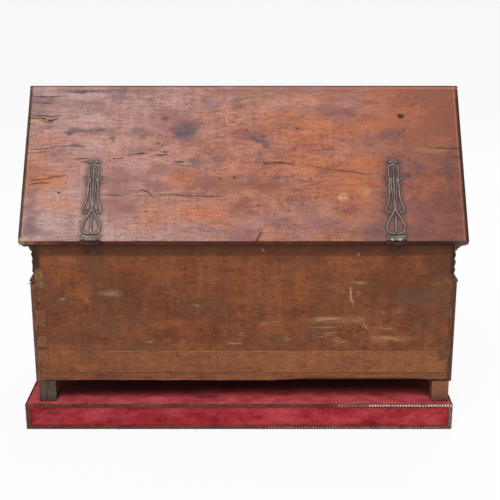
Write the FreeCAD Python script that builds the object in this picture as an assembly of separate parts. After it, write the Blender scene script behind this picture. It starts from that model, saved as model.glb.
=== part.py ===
import FreeCAD, Part
import math
import os

# Gable-lidded donation chest on a velvet-covered plinth, in millimetres.
# X runs along the chest, Y from the plain back (negative) to the front, Z up.
# The origin is on the surface that the plinth stands on, under the middle of the chest.

# Chest carcass
BOX_WIDTH = 760.0
BOX_DEPTH = 348.0
BOARD = 16.0
BOTTOM_BOARD = 16.0
LOWER_PLANK = 43.2
FOOT_WIDTH = 32.0
FOOT_DEPTH = 43.0
FOOT_HEIGHT = 40.4
FOOT_INSET = 3.2

# Hand-cut dovetail pins: height of the middle above the bottom board, and height of the pin
LEFT_PINS = ((33.5, 27.0), (61.5, 23.0), (106.5, 33.0), (172.5, 25.0))
RIGHT_PINS = ((36.5, 25.0), (64.0, 18.0), (120.5, 31.0), (172.5, 25.0))
PIN_TAPER = 2.8

# Planted facings and mouldings on the front and the two ends
FACING = 8.0
FACING_HEIGHT = 188.0
LEDGE_HEIGHT = 18.4
LEDGE_NOSE = 2.4
FRIEZE_HEIGHT = 41.6
FRIEZE_VALLEY = 1.6
REED_RISE = 3.0
REED_COUNT = 3
CORNICE_HEIGHT = 11.8
CORNICE_FOOT = 3.2
CORNICE_PROJECTION = 20.8
CORNICE_LIP = 2.0
CORNICE_DROP = 0.2

# Gable lid
LID_PITCH = 52.6
LID_THICKNESS = 19.0
LID_EAVE = 14.4
LID_END_OVERHANG = 14.8
LID_GAP = 0.3
EDGE_WIDTH = 7.0
EDGE_STEP = 1.0
EDGE_DROP = 4.5
BATTEN_WIDTH = 36.0
BATTEN_HEIGHT = 24.0

# Velvet-covered plinth
PLINTH_END_MARGIN = 10.3
PLINTH_SIDE_MARGIN = 11.2
PLINTH_HEIGHT = 51.6
PLINTH_SHIFT = 8.8
PLINTH_RAIL = 20.0
PLINTH_TOP = 12.0
PLINTH_BASE = 8.0
VELVET = 1.2
VELVET_HEM = 1.0
BRAID = 1.3
BRAID_WIDTH = 7.0

# Strap hinges
HINGE_FROM_END = 112.5
STRAP_LENGTH = 157.5
STRAP_THICKNESS = 2.5
STRAP_HALF_WIDTH = 17.5
STRAP_BASE = 9.5
BAR_WIDTH = 3.8
KNUCKLE_RADIUS = 4.0
KNUCKLE_GAP = 0.3
LEAF_KNUCKLE = 18.0
PIN_RADIUS = 2.0
PIN_CLEARANCE = 0.05
PIN_OVERHANG = 1.0
HINGE_CLEARANCE = 0.5
LEAF_TAIL = 52.0
LEAF_TAIL_WIDTH = 34.0

# Coin slot in the front slope
SLOT_LENGTH = 60.0
SLOT_WIDTH = 6.0
SLOT_Y = 70.0
SLOT_PLATE_LENGTH = 92.0
SLOT_PLATE_WIDTH = 42.0
PLATE = 1.5

# Lock
LOCK_WIDTH = 80.0
LOCK_HEIGHT = 56.0
LOCK_DEPTH = 22.0
LOCK_WALL = 2.0
LOCK_DROP = 8.0
BOLT_SIZE = 6.5
BOLT_LENGTH = 31.0
BOLT_TRAVEL = 14.0
BOLT_DROP = 22.0
BOLT_CLEARANCE = 0.15
TALON_WIDTH = 6.0
TALON_DEPTH = 2.5
GUIDE_WIDTH = 4.0
GUIDE_WALL = 4.0
STAPLE_THICKNESS = 5.0
STAPLE_WIDTH = 12.0
STAPLE_EYE = 7.6
STAPLE_TOE = 3.2
STAPLE_FLANGE = 30.0
STAPLE_FLANGE_THICKNESS = 2.2
STAPLE_CLEARANCE = 1.5
KEYHOLE_RADIUS = 5.5
KEYHOLE_SLOT = 7.0
KEYHOLE_LENGTH = 15.0
KEYHOLE_DROP = 36.0
ESCUTCHEON_WIDTH = 58.0
ESCUTCHEON_HEIGHT = 38.0

# Forged nails
NAIL_SHANK = 1.1
NAIL_HEAD = 2.6
NAIL_RISE = 1.1
NAIL_LENGTH = 13.0
NAIL_CLEARANCE = 0.02

# Levels and planes worked out from the sizes above
FOOT_BASE = PLINTH_HEIGHT
CHEST_BASE = FOOT_BASE + FOOT_HEIGHT
WALL_BASE = CHEST_BASE + BOTTOM_BOARD
LEDGE_BASE = CHEST_BASE + FACING_HEIGHT
FRIEZE_BASE = LEDGE_BASE + LEDGE_HEIGHT
CORNICE_BASE = FRIEZE_BASE + FRIEZE_HEIGHT
CORNICE_TOP = CORNICE_BASE + CORNICE_HEIGHT
WALL_TOP = CORNICE_TOP + CORNICE_DROP
BACK = -BOX_DEPTH / 2
FRONT = BOX_DEPTH / 2 - FACING
INNER_BACK = BACK + BOARD
INNER_FRONT = FRONT - BOARD
CARCASS_HALF = BOX_WIDTH / 2 - FACING
INNER_HALF = CARCASS_HALF - BOARD

PITCH = math.radians(LID_PITCH)
LID_HALF = BOX_WIDTH / 2 + LID_END_OVERHANG
LID_BASE = WALL_TOP + LID_GAP
LID_RUN = BOX_DEPTH / 2 + LID_EAVE
SLOPE_LENGTH = LID_RUN / math.cos(PITCH)
EAVE_Z = LID_BASE + LID_THICKNESS * math.cos(PITCH)
UNDER_RUN = LID_RUN - LID_THICKNESS * math.sin(PITCH)

HINGE_X = BOX_WIDTH / 2 - HINGE_FROM_END
HINGE_U = -(KNUCKLE_RADIUS + HINGE_CLEARANCE)
HINGE_N = STRAP_THICKNESS - KNUCKLE_RADIUS
HINGE_LEAF = STRAP_THICKNESS

PLINTH_REACH_X = BOX_WIDTH / 2 + PLINTH_END_MARGIN
PLINTH_REACH_Y = BOX_DEPTH / 2 + PLINTH_SIDE_MARGIN
STAPLE_Y = INNER_FRONT - LOCK_DEPTH / 2
LOCK_TOP = WALL_TOP - LOCK_DROP
BOLT_Z = WALL_TOP - BOLT_DROP
KEYHOLE_Z = WALL_TOP - KEYHOLE_DROP
LONG = 4 * BOX_WIDTH


def vec(x, y, z):
    return FreeCAD.Vector(x, y, z)


def box(x0, x1, y0, y1, z0, z1):
    return Part.makeBox(x1 - x0, y1 - y0, z1 - z0, vec(x0, y0, z0))


def cylinder(radius, start, end):
    return Part.makeCylinder(radius, (end - start).Length, start, end - start)


def face_of(points):
    return Part.Face(Part.makePolygon(points + points[:1]))


def prism_x(outline, x0, x1):
    """Extrude a (y, z) outline along X."""
    return face_of([vec(x0, y, z) for y, z in outline]).extrude(vec(x1 - x0, 0, 0))


def prism_y(outline, y0, y1):
    """Extrude an (x, z) outline along Y."""
    return face_of([vec(x, y0, z) for x, z in outline]).extrude(vec(0, y1 - y0, 0))


def prism_z(outline, z0, z1):
    """Extrude an (x, y) outline along Z."""
    return face_of([vec(x, y, z0) for x, y in outline]).extrude(vec(0, 0, z1 - z0))


def to_left(shape):
    """The same piece on the other side of the middle of the chest."""
    return shape.mirror(vec(0, 0, 0), vec(1, 0, 0))


def to_front(shape):
    """The same piece on the other side of the ridge."""
    return shape.mirror(vec(0, 0, 0), vec(0, 1, 0))


def on_rear_slope(shape):
    """Place a piece drawn flat: Y up the slope from the eave edge, Z out of the lid."""
    placed = shape.copy()
    placed.rotate(vec(0, 0, 0), vec(1, 0, 0), LID_PITCH)
    placed.translate(vec(0, -LID_RUN, EAVE_Z))
    return placed


def slope_point(u, n):
    """The (y, z) of a point u up the rear slope and n out of it."""
    y = -LID_RUN + u * math.cos(PITCH) - n * math.sin(PITCH)
    z = EAVE_Z + u * math.sin(PITCH) + n * math.cos(PITCH)
    return y, z


def under_slope(y):
    """Height of the lid's underside at a distance y from the ridge."""
    return LID_BASE + (UNDER_RUN - abs(y)) * math.tan(PITCH)


def shank(head, point, radius):
    """A straight shank from under the head at head towards point."""
    tip = head + (point - head).normalize() * NAIL_LENGTH
    return cylinder(radius, head, tip)


def nail(head, point):
    """A nail whose low domed head stands on head and whose shank runs towards point."""
    direction = (point - head).normalize()
    dome_radius = (NAIL_HEAD ** 2 + NAIL_RISE ** 2) / (2 * NAIL_RISE)
    ball = Part.makeSphere(dome_radius, head - direction * (NAIL_RISE - dome_radius))
    cap = cylinder(2 * NAIL_HEAD, head, head - direction * 2 * NAIL_HEAD)
    return ball.common(cap).fuse(shank(head, point, NAIL_SHANK)).removeSplitter()


def without_nails(shape, nails):
    """Cut the nails' own holes through a piece."""
    for head, point in nails:
        shape = shape.cut(shank(head, point, NAIL_SHANK + NAIL_CLEARANCE))
    return shape


def nail_group(nails):
    return Part.makeCompound([nail(head, point) for head, point in nails])


# Plinth

def plinth_box(inset, z0, z1):
    half = PLINTH_REACH_X - inset
    depth = PLINTH_REACH_Y - inset
    return box(-PLINTH_SHIFT - half, -PLINTH_SHIFT + half, -depth, depth, z0, z1)


def plinth_core():
    rail_top = PLINTH_HEIGHT - VELVET - PLINTH_TOP
    half = PLINTH_REACH_X - VELVET
    depth = PLINTH_REACH_Y - VELVET
    inner = half - PLINTH_RAIL
    left = -PLINTH_SHIFT
    rear = box(left - half, left + half, -depth, -depth + PLINTH_RAIL, 0, rail_top)
    end = box(left + inner, left + half, -depth + PLINTH_RAIL, depth - PLINTH_RAIL, 0, rail_top)
    other_end = end.translated(vec(-inner - half, 0, 0))
    top = plinth_box(VELVET, rail_top, rail_top + PLINTH_TOP)
    base = plinth_box(VELVET + PLINTH_RAIL, 0, PLINTH_BASE)
    return {
        "plinth_rail_rear": rear,
        "plinth_rail_front": to_front(rear),
        "plinth_rail_left": other_end,
        "plinth_rail_right": end,
        "plinth_top_board": top,
        "plinth_base_board": base,
    }


def plinth_velvet():
    cover = plinth_box(0, VELVET_HEM, PLINTH_HEIGHT)
    return cover.cut(plinth_box(VELVET, 0, PLINTH_HEIGHT - VELVET))


def braid_ring(z0, z1):
    return plinth_box(-BRAID, z0, z1).cut(plinth_box(0, z0, z1))


def plinth_braids():
    top = braid_ring(PLINTH_HEIGHT - BRAID_WIDTH, PLINTH_HEIGHT)
    bottom = braid_ring(VELVET_HEM, VELVET_HEM + BRAID_WIDTH)
    upright = braid_ring(VELVET_HEM + BRAID_WIDTH, PLINTH_HEIGHT - BRAID_WIDTH)
    keep_x = PLINTH_REACH_X - BRAID_WIDTH
    keep_y = PLINTH_REACH_Y - BRAID_WIDTH
    middle = -PLINTH_SHIFT
    corners = upright.cut(box(-LONG, LONG, -keep_y, keep_y, 0, PLINTH_HEIGHT))
    corners = corners.cut(box(middle - keep_x, middle + keep_x, -LONG, LONG, 0, PLINTH_HEIGHT))
    return {
        "plinth_braid_top": top,
        "plinth_braid_bottom": bottom,
        "plinth_braid_corners": Part.makeCompound(corners.Solids),
    }


# Chest carcass

def feet():
    outer = BOX_WIDTH / 2 - FOOT_INSET
    right = box(outer - FOOT_WIDTH, outer, BACK, BACK + FOOT_DEPTH, FOOT_BASE, CHEST_BASE)
    left = to_left(right)
    return {
        "foot_rear_left": left,
        "foot_rear_right": right,
        "foot_front_left": to_front(left),
        "foot_front_right": to_front(right),
    }


def pin_prisms(pins, y0, y1):
    """Dovetail pins of the right-hand end, narrower at their outer ends."""
    prisms = []
    for middle, height in pins:
        low = WALL_BASE + middle - height / 2
        high = low + height
        outline = [
            (INNER_HALF, low),
            (INNER_HALF, high),
            (CARCASS_HALF, high - PIN_TAPER),
            (CARCASS_HALF, low + PIN_TAPER),
        ]
        prisms.append(prism_y(outline, y0, y1))
    return prisms


def end_pins(pins):
    """The pins that an end board shows in the back and in the front of the chest."""
    return pin_prisms(pins, BACK, INNER_BACK) + pin_prisms(pins, INNER_FRONT, FRONT)


def end_board(pins):
    board = box(INNER_HALF, CARCASS_HALF, INNER_BACK, INNER_FRONT, WALL_BASE, WALL_TOP)
    return board.multiFuse(end_pins(pins)).removeSplitter()


def planks():
    pins = end_pins(RIGHT_PINS) + [to_left(pin) for pin in end_pins(LEFT_PINS)]
    seam = WALL_BASE + LOWER_PLANK
    pieces = {}
    for name, y0, y1 in (("back", BACK, INNER_BACK), ("front", INNER_FRONT, FRONT)):
        for level, z0, z1 in (("lower", WALL_BASE, seam), ("upper", seam, WALL_TOP)):
            plank = box(-CARCASS_HALF, CARCASS_HALF, y0, y1, z0, z1)
            pieces[f"{name}_plank_{level}"] = plank.cut(Part.makeCompound(pins))
    return pieces


def carcass():
    pieces = planks()
    pieces["side_board_right"] = end_board(RIGHT_PINS)
    pieces["side_board_left"] = to_left(end_board(LEFT_PINS))
    pieces["bottom_board"] = box(-CARCASS_HALF, CARCASS_HALF, BACK, FRONT, CHEST_BASE, WALL_BASE)
    return pieces


# Facings and mouldings, each as a right, left and front piece mitred at the front corners

def facing_outline():
    return [
        Part.makePolygon([vec(0, 0, LEDGE_BASE), vec(0, 0, CHEST_BASE), vec(FACING, 0, CHEST_BASE)]),
        Part.makePolygon([vec(FACING, 0, CHEST_BASE), vec(FACING, 0, LEDGE_BASE), vec(0, 0, LEDGE_BASE)]),
    ]


def ledge_outline():
    nose = FACING + LEDGE_NOSE
    nose_z = LEDGE_BASE + 0.36 * LEDGE_HEIGHT
    corners = [
        vec(0, 0, FRIEZE_BASE),
        vec(0, 0, LEDGE_BASE),
        vec(FACING, 0, LEDGE_BASE),
        vec(nose, 0, nose_z),
        vec(FRIEZE_VALLEY, 0, FRIEZE_BASE),
        vec(0, 0, FRIEZE_BASE),
    ]
    return [Part.makePolygon(corners)]


def frieze_outline():
    pitch = FRIEZE_HEIGHT / REED_COUNT
    edges = []
    for reed in range(REED_COUNT):
        low = FRIEZE_BASE + reed * pitch
        foot = vec(FRIEZE_VALLEY, 0, low)
        crest = vec(FRIEZE_VALLEY + REED_RISE, 0, low + pitch / 2)
        head = vec(FRIEZE_VALLEY, 0, low + pitch)
        edges.append(Part.Arc(foot, crest, head).toShape())
    backing = [
        vec(FRIEZE_VALLEY, 0, CORNICE_BASE),
        vec(0, 0, CORNICE_BASE),
        vec(0, 0, FRIEZE_BASE),
        vec(FRIEZE_VALLEY, 0, FRIEZE_BASE),
    ]
    return edges + [Part.makePolygon(backing)]


def cornice_outline():
    """A hollow curve that carries the lid's edge, with a small square lip at its top."""
    lip_z = CORNICE_TOP - CORNICE_LIP
    rise = lip_z - CORNICE_BASE
    reach = CORNICE_PROJECTION - CORNICE_FOOT
    foot = vec(CORNICE_FOOT, 0, CORNICE_BASE)
    hollow = vec(CORNICE_FOOT + 0.28 * reach, 0, CORNICE_BASE + 0.66 * rise)
    lip = vec(CORNICE_PROJECTION, 0, lip_z)
    closing = [
        lip,
        vec(CORNICE_PROJECTION, 0, CORNICE_TOP),
        vec(0, 0, CORNICE_TOP),
        vec(0, 0, CORNICE_BASE),
        foot,
    ]
    return [Part.Arc(foot, hollow, lip).toShape(), Part.makePolygon(closing)]


def mitred_bands(outline):
    """Run an (outward, z) outline round the right end, the left end and the front."""
    edges = [edge for piece in outline for edge in piece.Edges]
    face = Part.Face(Part.Wire(Part.__sortEdges__(edges)))
    reach = 2 * CORNICE_PROJECTION
    corner_x = CARCASS_HALF
    corner_y = FRONT
    past = (corner_x + reach, corner_y + reach)
    side_waste = prism_z([(corner_x, corner_y), past, (corner_x - reach, corner_y + reach)], 0, LONG)
    front_waste = prism_z([(corner_x, corner_y), past, (corner_x + reach, corner_y - reach)], 0, LONG)
    side = face.translated(vec(corner_x, BACK, 0)).extrude(vec(0, corner_y + reach - BACK, 0))
    right = side.cut(side_waste)
    turned = face.copy()
    turned.rotate(vec(0, 0, 0), vec(0, 0, 1), 90)
    turned.translate(vec(corner_x + reach, corner_y, 0))
    run = turned.extrude(vec(-2 * (corner_x + reach), 0, 0))
    front = run.cut(front_waste).cut(to_left(front_waste))
    return right, to_left(right), front


def mouldings():
    outlines = {
        "facing": facing_outline(),
        "ledge": ledge_outline(),
        "frieze": frieze_outline(),
        "cornice": cornice_outline(),
    }
    pieces = {}
    for name, outline in outlines.items():
        right, left, front = mitred_bands(outline)
        pieces[f"{name}_right"] = right
        pieces[f"{name}_left"] = left
        pieces[f"{name}_front"] = front
    return pieces


# Lid

def edge_waste(length):
    """What the thumbnail moulding takes off an edge: X in from the edge, Z out of the board."""
    beyond = EDGE_WIDTH
    step = vec(EDGE_WIDTH, 0, -EDGE_STEP)
    roll = vec(0.37 * EDGE_WIDTH, 0, -0.45 * EDGE_DROP)
    toe = vec(0, 0, -EDGE_DROP)
    closing = [
        toe,
        vec(-beyond, 0, -EDGE_DROP),
        vec(-beyond, 0, beyond),
        vec(EDGE_WIDTH, 0, beyond),
        step,
    ]
    edges = [Part.Arc(step, roll, toe).toShape()] + Part.makePolygon(closing).Edges
    return Part.Face(Part.Wire(Part.__sortEdges__(edges))).extrude(vec(0, length, 0))


def slope_board():
    """The rear slope: a board mitred at the ridge, with moulded ends and ridge."""
    ridge_z = EAVE_Z + LID_RUN * math.tan(PITCH)
    ridge_under = ridge_z - LID_THICKNESS / math.cos(PITCH)
    outline = [
        (-LID_RUN, EAVE_Z),
        (0, ridge_z),
        (0, ridge_under),
        (-UNDER_RUN, LID_BASE),
    ]
    board = prism_x(outline, -LID_HALF, LID_HALF)
    margin = 2 * LID_THICKNESS
    end = edge_waste(SLOPE_LENGTH + 2 * margin)
    end.translate(vec(-LID_HALF, -margin, 0))
    end = on_rear_slope(end)
    ridge = edge_waste(2 * LID_HALF)
    ridge.rotate(vec(0, 0, 0), vec(0, 0, 1), -90)
    ridge.translate(vec(-LID_HALF, SLOPE_LENGTH, 0))
    return board.cut(end).cut(to_left(end)).cut(on_rear_slope(ridge))


def gable():
    apex = under_slope(0)
    outline = [(-UNDER_RUN, LID_BASE), (UNDER_RUN, LID_BASE), (0, apex)]
    return prism_x(outline, INNER_HALF, CARCASS_HALF)


def eave_batten():
    """A batten in the angle of the rear eave, between the gables."""
    top = LID_BASE + BATTEN_HEIGHT
    outer_top = -UNDER_RUN + BATTEN_HEIGHT / math.tan(PITCH)
    outline = [
        (-UNDER_RUN, LID_BASE),
        (outer_top, top),
        (outer_top + BATTEN_WIDTH / 2, top),
        (outer_top + BATTEN_WIDTH / 2, LID_BASE),
    ]
    return prism_x(outline, -INNER_HALF, INNER_HALF)


def slot_cutter():
    return box(-SLOT_LENGTH / 2, SLOT_LENGTH / 2, SLOT_Y - SLOT_WIDTH / 2, SLOT_Y + SLOT_WIDTH / 2, 0, LONG)


def slot_u():
    return (LID_RUN - SLOT_Y) / math.cos(PITCH)


def slot_plate():
    half_x = SLOT_PLATE_LENGTH / 2
    half_u = SLOT_PLATE_WIDTH / 2
    plate = box(-half_x, half_x, slot_u() - half_u, slot_u() + half_u, 0, PLATE)
    return to_front(on_rear_slope(plate)).cut(slot_cutter())


def on_front_slope_point(x, u, n):
    y, z = slope_point(u, n)
    return vec(x, -y, z)


def slot_nails():
    places = []
    for x in (-SLOT_PLATE_LENGTH / 2 + 2 * NAIL_HEAD, SLOT_PLATE_LENGTH / 2 - 2 * NAIL_HEAD):
        for shift in (-SLOT_PLATE_WIDTH / 2 + 2 * NAIL_HEAD, SLOT_PLATE_WIDTH / 2 - 2 * NAIL_HEAD):
            u = slot_u() + shift
            places.append((on_front_slope_point(x, u, PLATE), on_front_slope_point(x, u, -1)))
    return places


# Strap hinges, drawn flat: X across, Y up the slope from the eave edge, Z out of the lid

def strap_place(across, along):
    """A point of the strap, in shares of its half width and its length."""
    return vec(across * STRAP_HALF_WIDTH, along * STRAP_LENGTH, 0)


def bar(places, share=1.0):
    """A flat forged bar along a smooth line through the places, a share of the full bar wide."""
    line = Part.BSplineCurve()
    line.interpolate([strap_place(across, along) for across, along in places])
    steps = 4 * len(places)
    first = line.FirstParameter
    span = line.LastParameter - first
    left = []
    right = []
    for step in range(steps + 1):
        here = first + span * step / steps
        tangent = line.tangent(here)[0]
        aside = vec(-tangent.y, tangent.x, 0) * (share * BAR_WIDTH / 2)
        left.append(line.value(here) + aside)
        right.append(line.value(here) - aside)
    sides = []
    for side in (left, right):
        curve = Part.BSplineCurve()
        curve.interpolate(side)
        sides.append(curve.toShape())
    ends = [Part.makeLine(left[0], right[0]), Part.makeLine(left[-1], right[-1])]
    outline = Part.Wire(Part.__sortEdges__(sides + ends))
    return Part.Face(outline).extrude(vec(0, 0, STRAP_THICKNESS))


def strap_half():
    """The scrolled bars on the right of the strap's middle line."""
    pear = bar([(0.03, 0.394), (0.24, 0.33), (0.69, 0.229), (0.89, 0.146), (0.69, 0.086), (0, 0.067)])
    scroll = bar(
        [
            (0.39, 0.762),
            (0.51, 0.686),
            (0.51, 0.533),
            (0.71, 0.444),
            (0.89, 0.375),
            (0.78, 0.327),
            (0.53, 0.33),
            (0.56, 0.359),
        ],
        0.9,
    )
    inner = bar([(0.3, 0.756), (0.29, 0.66), (0.19, 0.533), (0.05, 0.419)], 0.74)
    cusp = bar([(0.43, 0.759), (0.72, 0.768), (0.8, 0.74), (0.65, 0.717)], 0.84)
    frame = bar([(0, 0.733), (0.38, 0.762), (0.51, 0.806), (0.51, 0.889), (0.31, 0.921), (0, 0.923)], 0.9)
    return [pear, scroll, inner, cusp, frame]


def strap_finial():
    """The crossbar with a low peak that ends the strap."""
    right = [(0.54, 0.937), (0.54, 0.956), (0.35, 0.982)]
    left = [(-across, along) for across, along in reversed(right)]
    outline = right + [(0, 1.0)] + left
    face = face_of([strap_place(across, along) for across, along in outline])
    return face.extrude(vec(0, 0, STRAP_THICKNESS))


def strap_pattern():
    halves = strap_half()
    stem = bar([(0, 0.356), (0, 0.571), (0, 0.762), (0, 0.927)], 0.84)
    pear_bar = bar([(0, 0.063), (0, 0.178), (0, 0.292)], 1.1)
    neck = bar([(0, 0.914), (0, 0.94), (0, 0.965)], 1.6)
    return halves + [to_left(piece) for piece in halves] + [stem, pear_bar, neck, strap_finial()]


def barrel_part(x0, x1, radius):
    return cylinder(radius, vec(x0, HINGE_U, HINGE_N), vec(x1, HINGE_U, HINGE_N))


def barrel_bore():
    return barrel_part(-LONG, LONG, PIN_RADIUS + PIN_CLEARANCE)


def flat_strap():
    half = STRAP_HALF_WIDTH
    inner = LEAF_KNUCKLE / 2 + KNUCKLE_GAP
    base = box(-half, half, 0, STRAP_BASE, 0, STRAP_THICKNESS)
    strap = base.multiFuse(strap_pattern())
    for x0, x1 in ((-half, -inner), (inner, half)):
        tab = box(x0, x1, HINGE_U, 0, 0, STRAP_THICKNESS)
        strap = strap.multiFuse([tab, barrel_part(x0, x1, KNUCKLE_RADIUS)])
    return strap.cut(barrel_bore()).removeSplitter()


def hinge_leaf():
    """The fixed leaf: knuckle, web down the eave, and a tail over the back board."""
    half = LEAF_KNUCKLE / 2
    inner_u = -HINGE_CLEARANCE
    outer_u = inner_u - HINGE_LEAF
    tail_y = INNER_BACK + HINGE_LEAF
    seat = WALL_TOP - HINGE_LEAF
    inner_n = (WALL_TOP - EAVE_Z - inner_u * math.sin(PITCH)) / math.cos(PITCH)
    outer_n = (seat - EAVE_Z - outer_u * math.sin(PITCH)) / math.cos(PITCH)
    outline = [
        slope_point(outer_u, HINGE_N),
        slope_point(inner_u, HINGE_N),
        slope_point(inner_u, inner_n),
        (tail_y, WALL_TOP),
        (tail_y, seat),
        (INNER_BACK, seat),
        slope_point(outer_u, outer_n),
    ]
    web = prism_x(outline, -half, half)
    tail_half = LEAF_TAIL_WIDTH / 2
    tail = box(-tail_half, tail_half, INNER_BACK, tail_y, WALL_TOP - LEAF_TAIL, WALL_TOP)
    knuckle = on_rear_slope(barrel_part(-half, half, KNUCKLE_RADIUS))
    leaf = web.multiFuse([tail, knuckle])
    return leaf.cut(on_rear_slope(barrel_bore())).removeSplitter()


def leaf_seat():
    """The notch that lets the leaf into the top of the back board."""
    half = LEAF_KNUCKLE / 2 + KNUCKLE_GAP
    return box(-half, half, BACK, INNER_BACK, WALL_TOP - HINGE_LEAF, WALL_TOP)


def hinge_pin():
    half = STRAP_HALF_WIDTH + PIN_OVERHANG
    return on_rear_slope(barrel_part(-half, half, PIN_RADIUS))


def rear_slope_point(x, u, n):
    y, z = slope_point(u, n)
    return vec(x, y, z)


def strap_nails():
    shares = ((-0.71, 0.03), (0.71, 0.03), (-0.77, 0.337), (0.77, 0.337), (0, 0.749), (0, 0.962))
    nails = []
    for across, along in shares:
        place = strap_place(across, along)
        head = rear_slope_point(place.x, place.y, STRAP_THICKNESS)
        nails.append((head, rear_slope_point(place.x, place.y, -1)))
    return nails


def leaf_nails():
    head_y = INNER_BACK + HINGE_LEAF
    nails = []
    for x in (-LEAF_TAIL_WIDTH / 2 + 2 * NAIL_HEAD, LEAF_TAIL_WIDTH / 2 - 2 * NAIL_HEAD):
        z = WALL_TOP - LEAF_TAIL + 2 * NAIL_HEAD
        nails.append((vec(x, head_y, z), vec(x, BACK, z)))
    return nails


def moved_nails(nails, shift):
    return [(head + shift, point + shift) for head, point in nails]


# Lock

def keyhole(y0, y1):
    eye = cylinder(KEYHOLE_RADIUS, vec(0, y0, KEYHOLE_Z), vec(0, y1, KEYHOLE_Z))
    half = KEYHOLE_SLOT / 2
    return eye.fuse(box(-half, half, y0, y1, KEYHOLE_Z - KEYHOLE_LENGTH, KEYHOLE_Z))


def lock_case():
    half = LOCK_WIDTH / 2
    rear = INNER_FRONT - LOCK_DEPTH
    outer = box(-half, half, rear, INNER_FRONT, LOCK_TOP - LOCK_HEIGHT, LOCK_TOP)
    hollow = box(
        -half + LOCK_WALL,
        half - LOCK_WALL,
        rear + LOCK_WALL,
        INNER_FRONT,
        LOCK_TOP - LOCK_HEIGHT + LOCK_WALL,
        LOCK_TOP - LOCK_WALL,
    )
    mouth_x = STAPLE_THICKNESS / 2 + STAPLE_CLEARANCE
    mouth = box(-mouth_x, mouth_x, STAPLE_Y - STAPLE_WIDTH / 2 - STAPLE_CLEARANCE, INNER_FRONT, BOLT_Z, LONG)
    return outer.cut(hollow).cut(mouth)


def bolt_box(x0, x1, grow):
    half = BOLT_SIZE / 2 + grow
    return box(x0, x1, STAPLE_Y - half, STAPLE_Y + half, BOLT_Z - half, BOLT_Z + half)


def bolt_rest():
    """Where the withdrawn bolt's tip lies, clear of the staple."""
    return STAPLE_THICKNESS / 2 + STAPLE_CLEARANCE


def lock_bolt():
    tip = bolt_rest()
    bolt = bolt_box(tip, tip + BOLT_LENGTH, 0)
    middle = tip + BOLT_LENGTH / 2
    low = BOLT_Z - BOLT_SIZE / 2
    talon = box(middle - TALON_WIDTH / 2, middle + TALON_WIDTH / 2, FRONT - LONG, FRONT, low, low + TALON_DEPTH)
    return bolt.cut(talon)


def lock_guides():
    """Two looped guides that carry the bolt over its whole travel."""
    tip = bolt_rest()
    guides = []
    for x in (tip + GUIDE_WIDTH / 2, tip + BOLT_LENGTH - BOLT_TRAVEL - GUIDE_WIDTH):
        loop = bolt_box(x, x + GUIDE_WIDTH, BOLT_CLEARANCE + GUIDE_WALL / 2)
        stalk = box(
            x,
            x + GUIDE_WIDTH,
            INNER_FRONT - LOCK_DEPTH + LOCK_WALL,
            STAPLE_Y,
            BOLT_Z - BOLT_SIZE / 2,
            BOLT_Z + BOLT_SIZE / 2,
        )
        guide = loop.fuse(stalk).cut(bolt_box(-LONG, LONG, BOLT_CLEARANCE))
        guides.append(guide.removeSplitter())
    return Part.makeCompound(guides)


def lock_staple():
    """A tongue under the front batten with an eye for the bolt."""
    half_x = STAPLE_THICKNESS / 2
    half_y = STAPLE_WIDTH / 2
    top = LID_BASE
    toe = BOLT_Z - STAPLE_EYE / 2 - STAPLE_TOE
    tongue = box(-half_x, half_x, STAPLE_Y - half_y, STAPLE_Y + half_y, toe, top)
    eye = box(
        -half_x,
        half_x,
        STAPLE_Y - STAPLE_EYE / 2,
        STAPLE_Y + STAPLE_EYE / 2,
        BOLT_Z - STAPLE_EYE / 2,
        BOLT_Z + STAPLE_EYE / 2,
    )
    flange_half = STAPLE_FLANGE / 2
    flange_z = top - STAPLE_FLANGE_THICKNESS
    flange = box(-flange_half, flange_half, STAPLE_Y - half_y, STAPLE_Y + half_y, flange_z, top)
    return tongue.cut(eye).fuse(flange).removeSplitter()


def staple_nails():
    z = LID_BASE - STAPLE_FLANGE_THICKNESS
    x = STAPLE_FLANGE / 2 - 1.5 * NAIL_HEAD
    return [(vec(side * x, STAPLE_Y, z), vec(side * x, STAPLE_Y, z + 1)) for side in (-1, 1)]


def escutcheon_y():
    return FRONT + FRIEZE_VALLEY + REED_RISE


def escutcheon():
    """An iron keyhole plate that lies on the crests of the front reeds."""
    half_x = ESCUTCHEON_WIDTH / 2
    low = FRIEZE_BASE + (FRIEZE_HEIGHT - ESCUTCHEON_HEIGHT) / 2
    high = low + ESCUTCHEON_HEIGHT
    notch = ESCUTCHEON_HEIGHT / 6
    outline = [
        (-half_x, low + notch),
        (-half_x + notch, low + notch),
        (-half_x + notch, low),
        (half_x - notch, low),
        (half_x - notch, low + notch),
        (half_x, low + notch),
        (half_x, high - notch),
        (half_x - notch, high - notch),
        (half_x - notch, high),
        (-half_x + notch, high),
        (-half_x + notch, high - notch),
        (-half_x, high - notch),
    ]
    y = escutcheon_y()
    return prism_y(outline, y, y + PLATE).cut(keyhole(FRONT, FRONT + LONG))


def escutcheon_nails():
    y = escutcheon_y() + PLATE
    nails = []
    middle = FRIEZE_BASE + FRIEZE_HEIGHT / 2
    for x in (-ESCUTCHEON_WIDTH / 2 + 1.6 * NAIL_HEAD, ESCUTCHEON_WIDTH / 2 - 1.6 * NAIL_HEAD):
        nails.append((vec(x, y, middle), vec(x, y - 1, middle)))
    return nails


# Assembly

def lid_pieces():
    rear = slope_board()
    front = to_front(rear).cut(slot_cutter())
    batten = eave_batten()
    front_batten = without_nails(to_front(batten), staple_nails())
    pieces = {
        "lid_gable_right": gable(),
        "lid_gable_left": to_left(gable()),
        "lid_batten_rear": batten,
        "lid_batten_front": front_batten,
        "lid_front_slope": without_nails(front, slot_nails()),
        "coin_slot_plate": without_nails(slot_plate(), slot_nails()),
        "coin_plate_nails": nail_group(slot_nails()),
    }
    pieces["lid_rear_slope"] = rear
    return pieces


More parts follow.
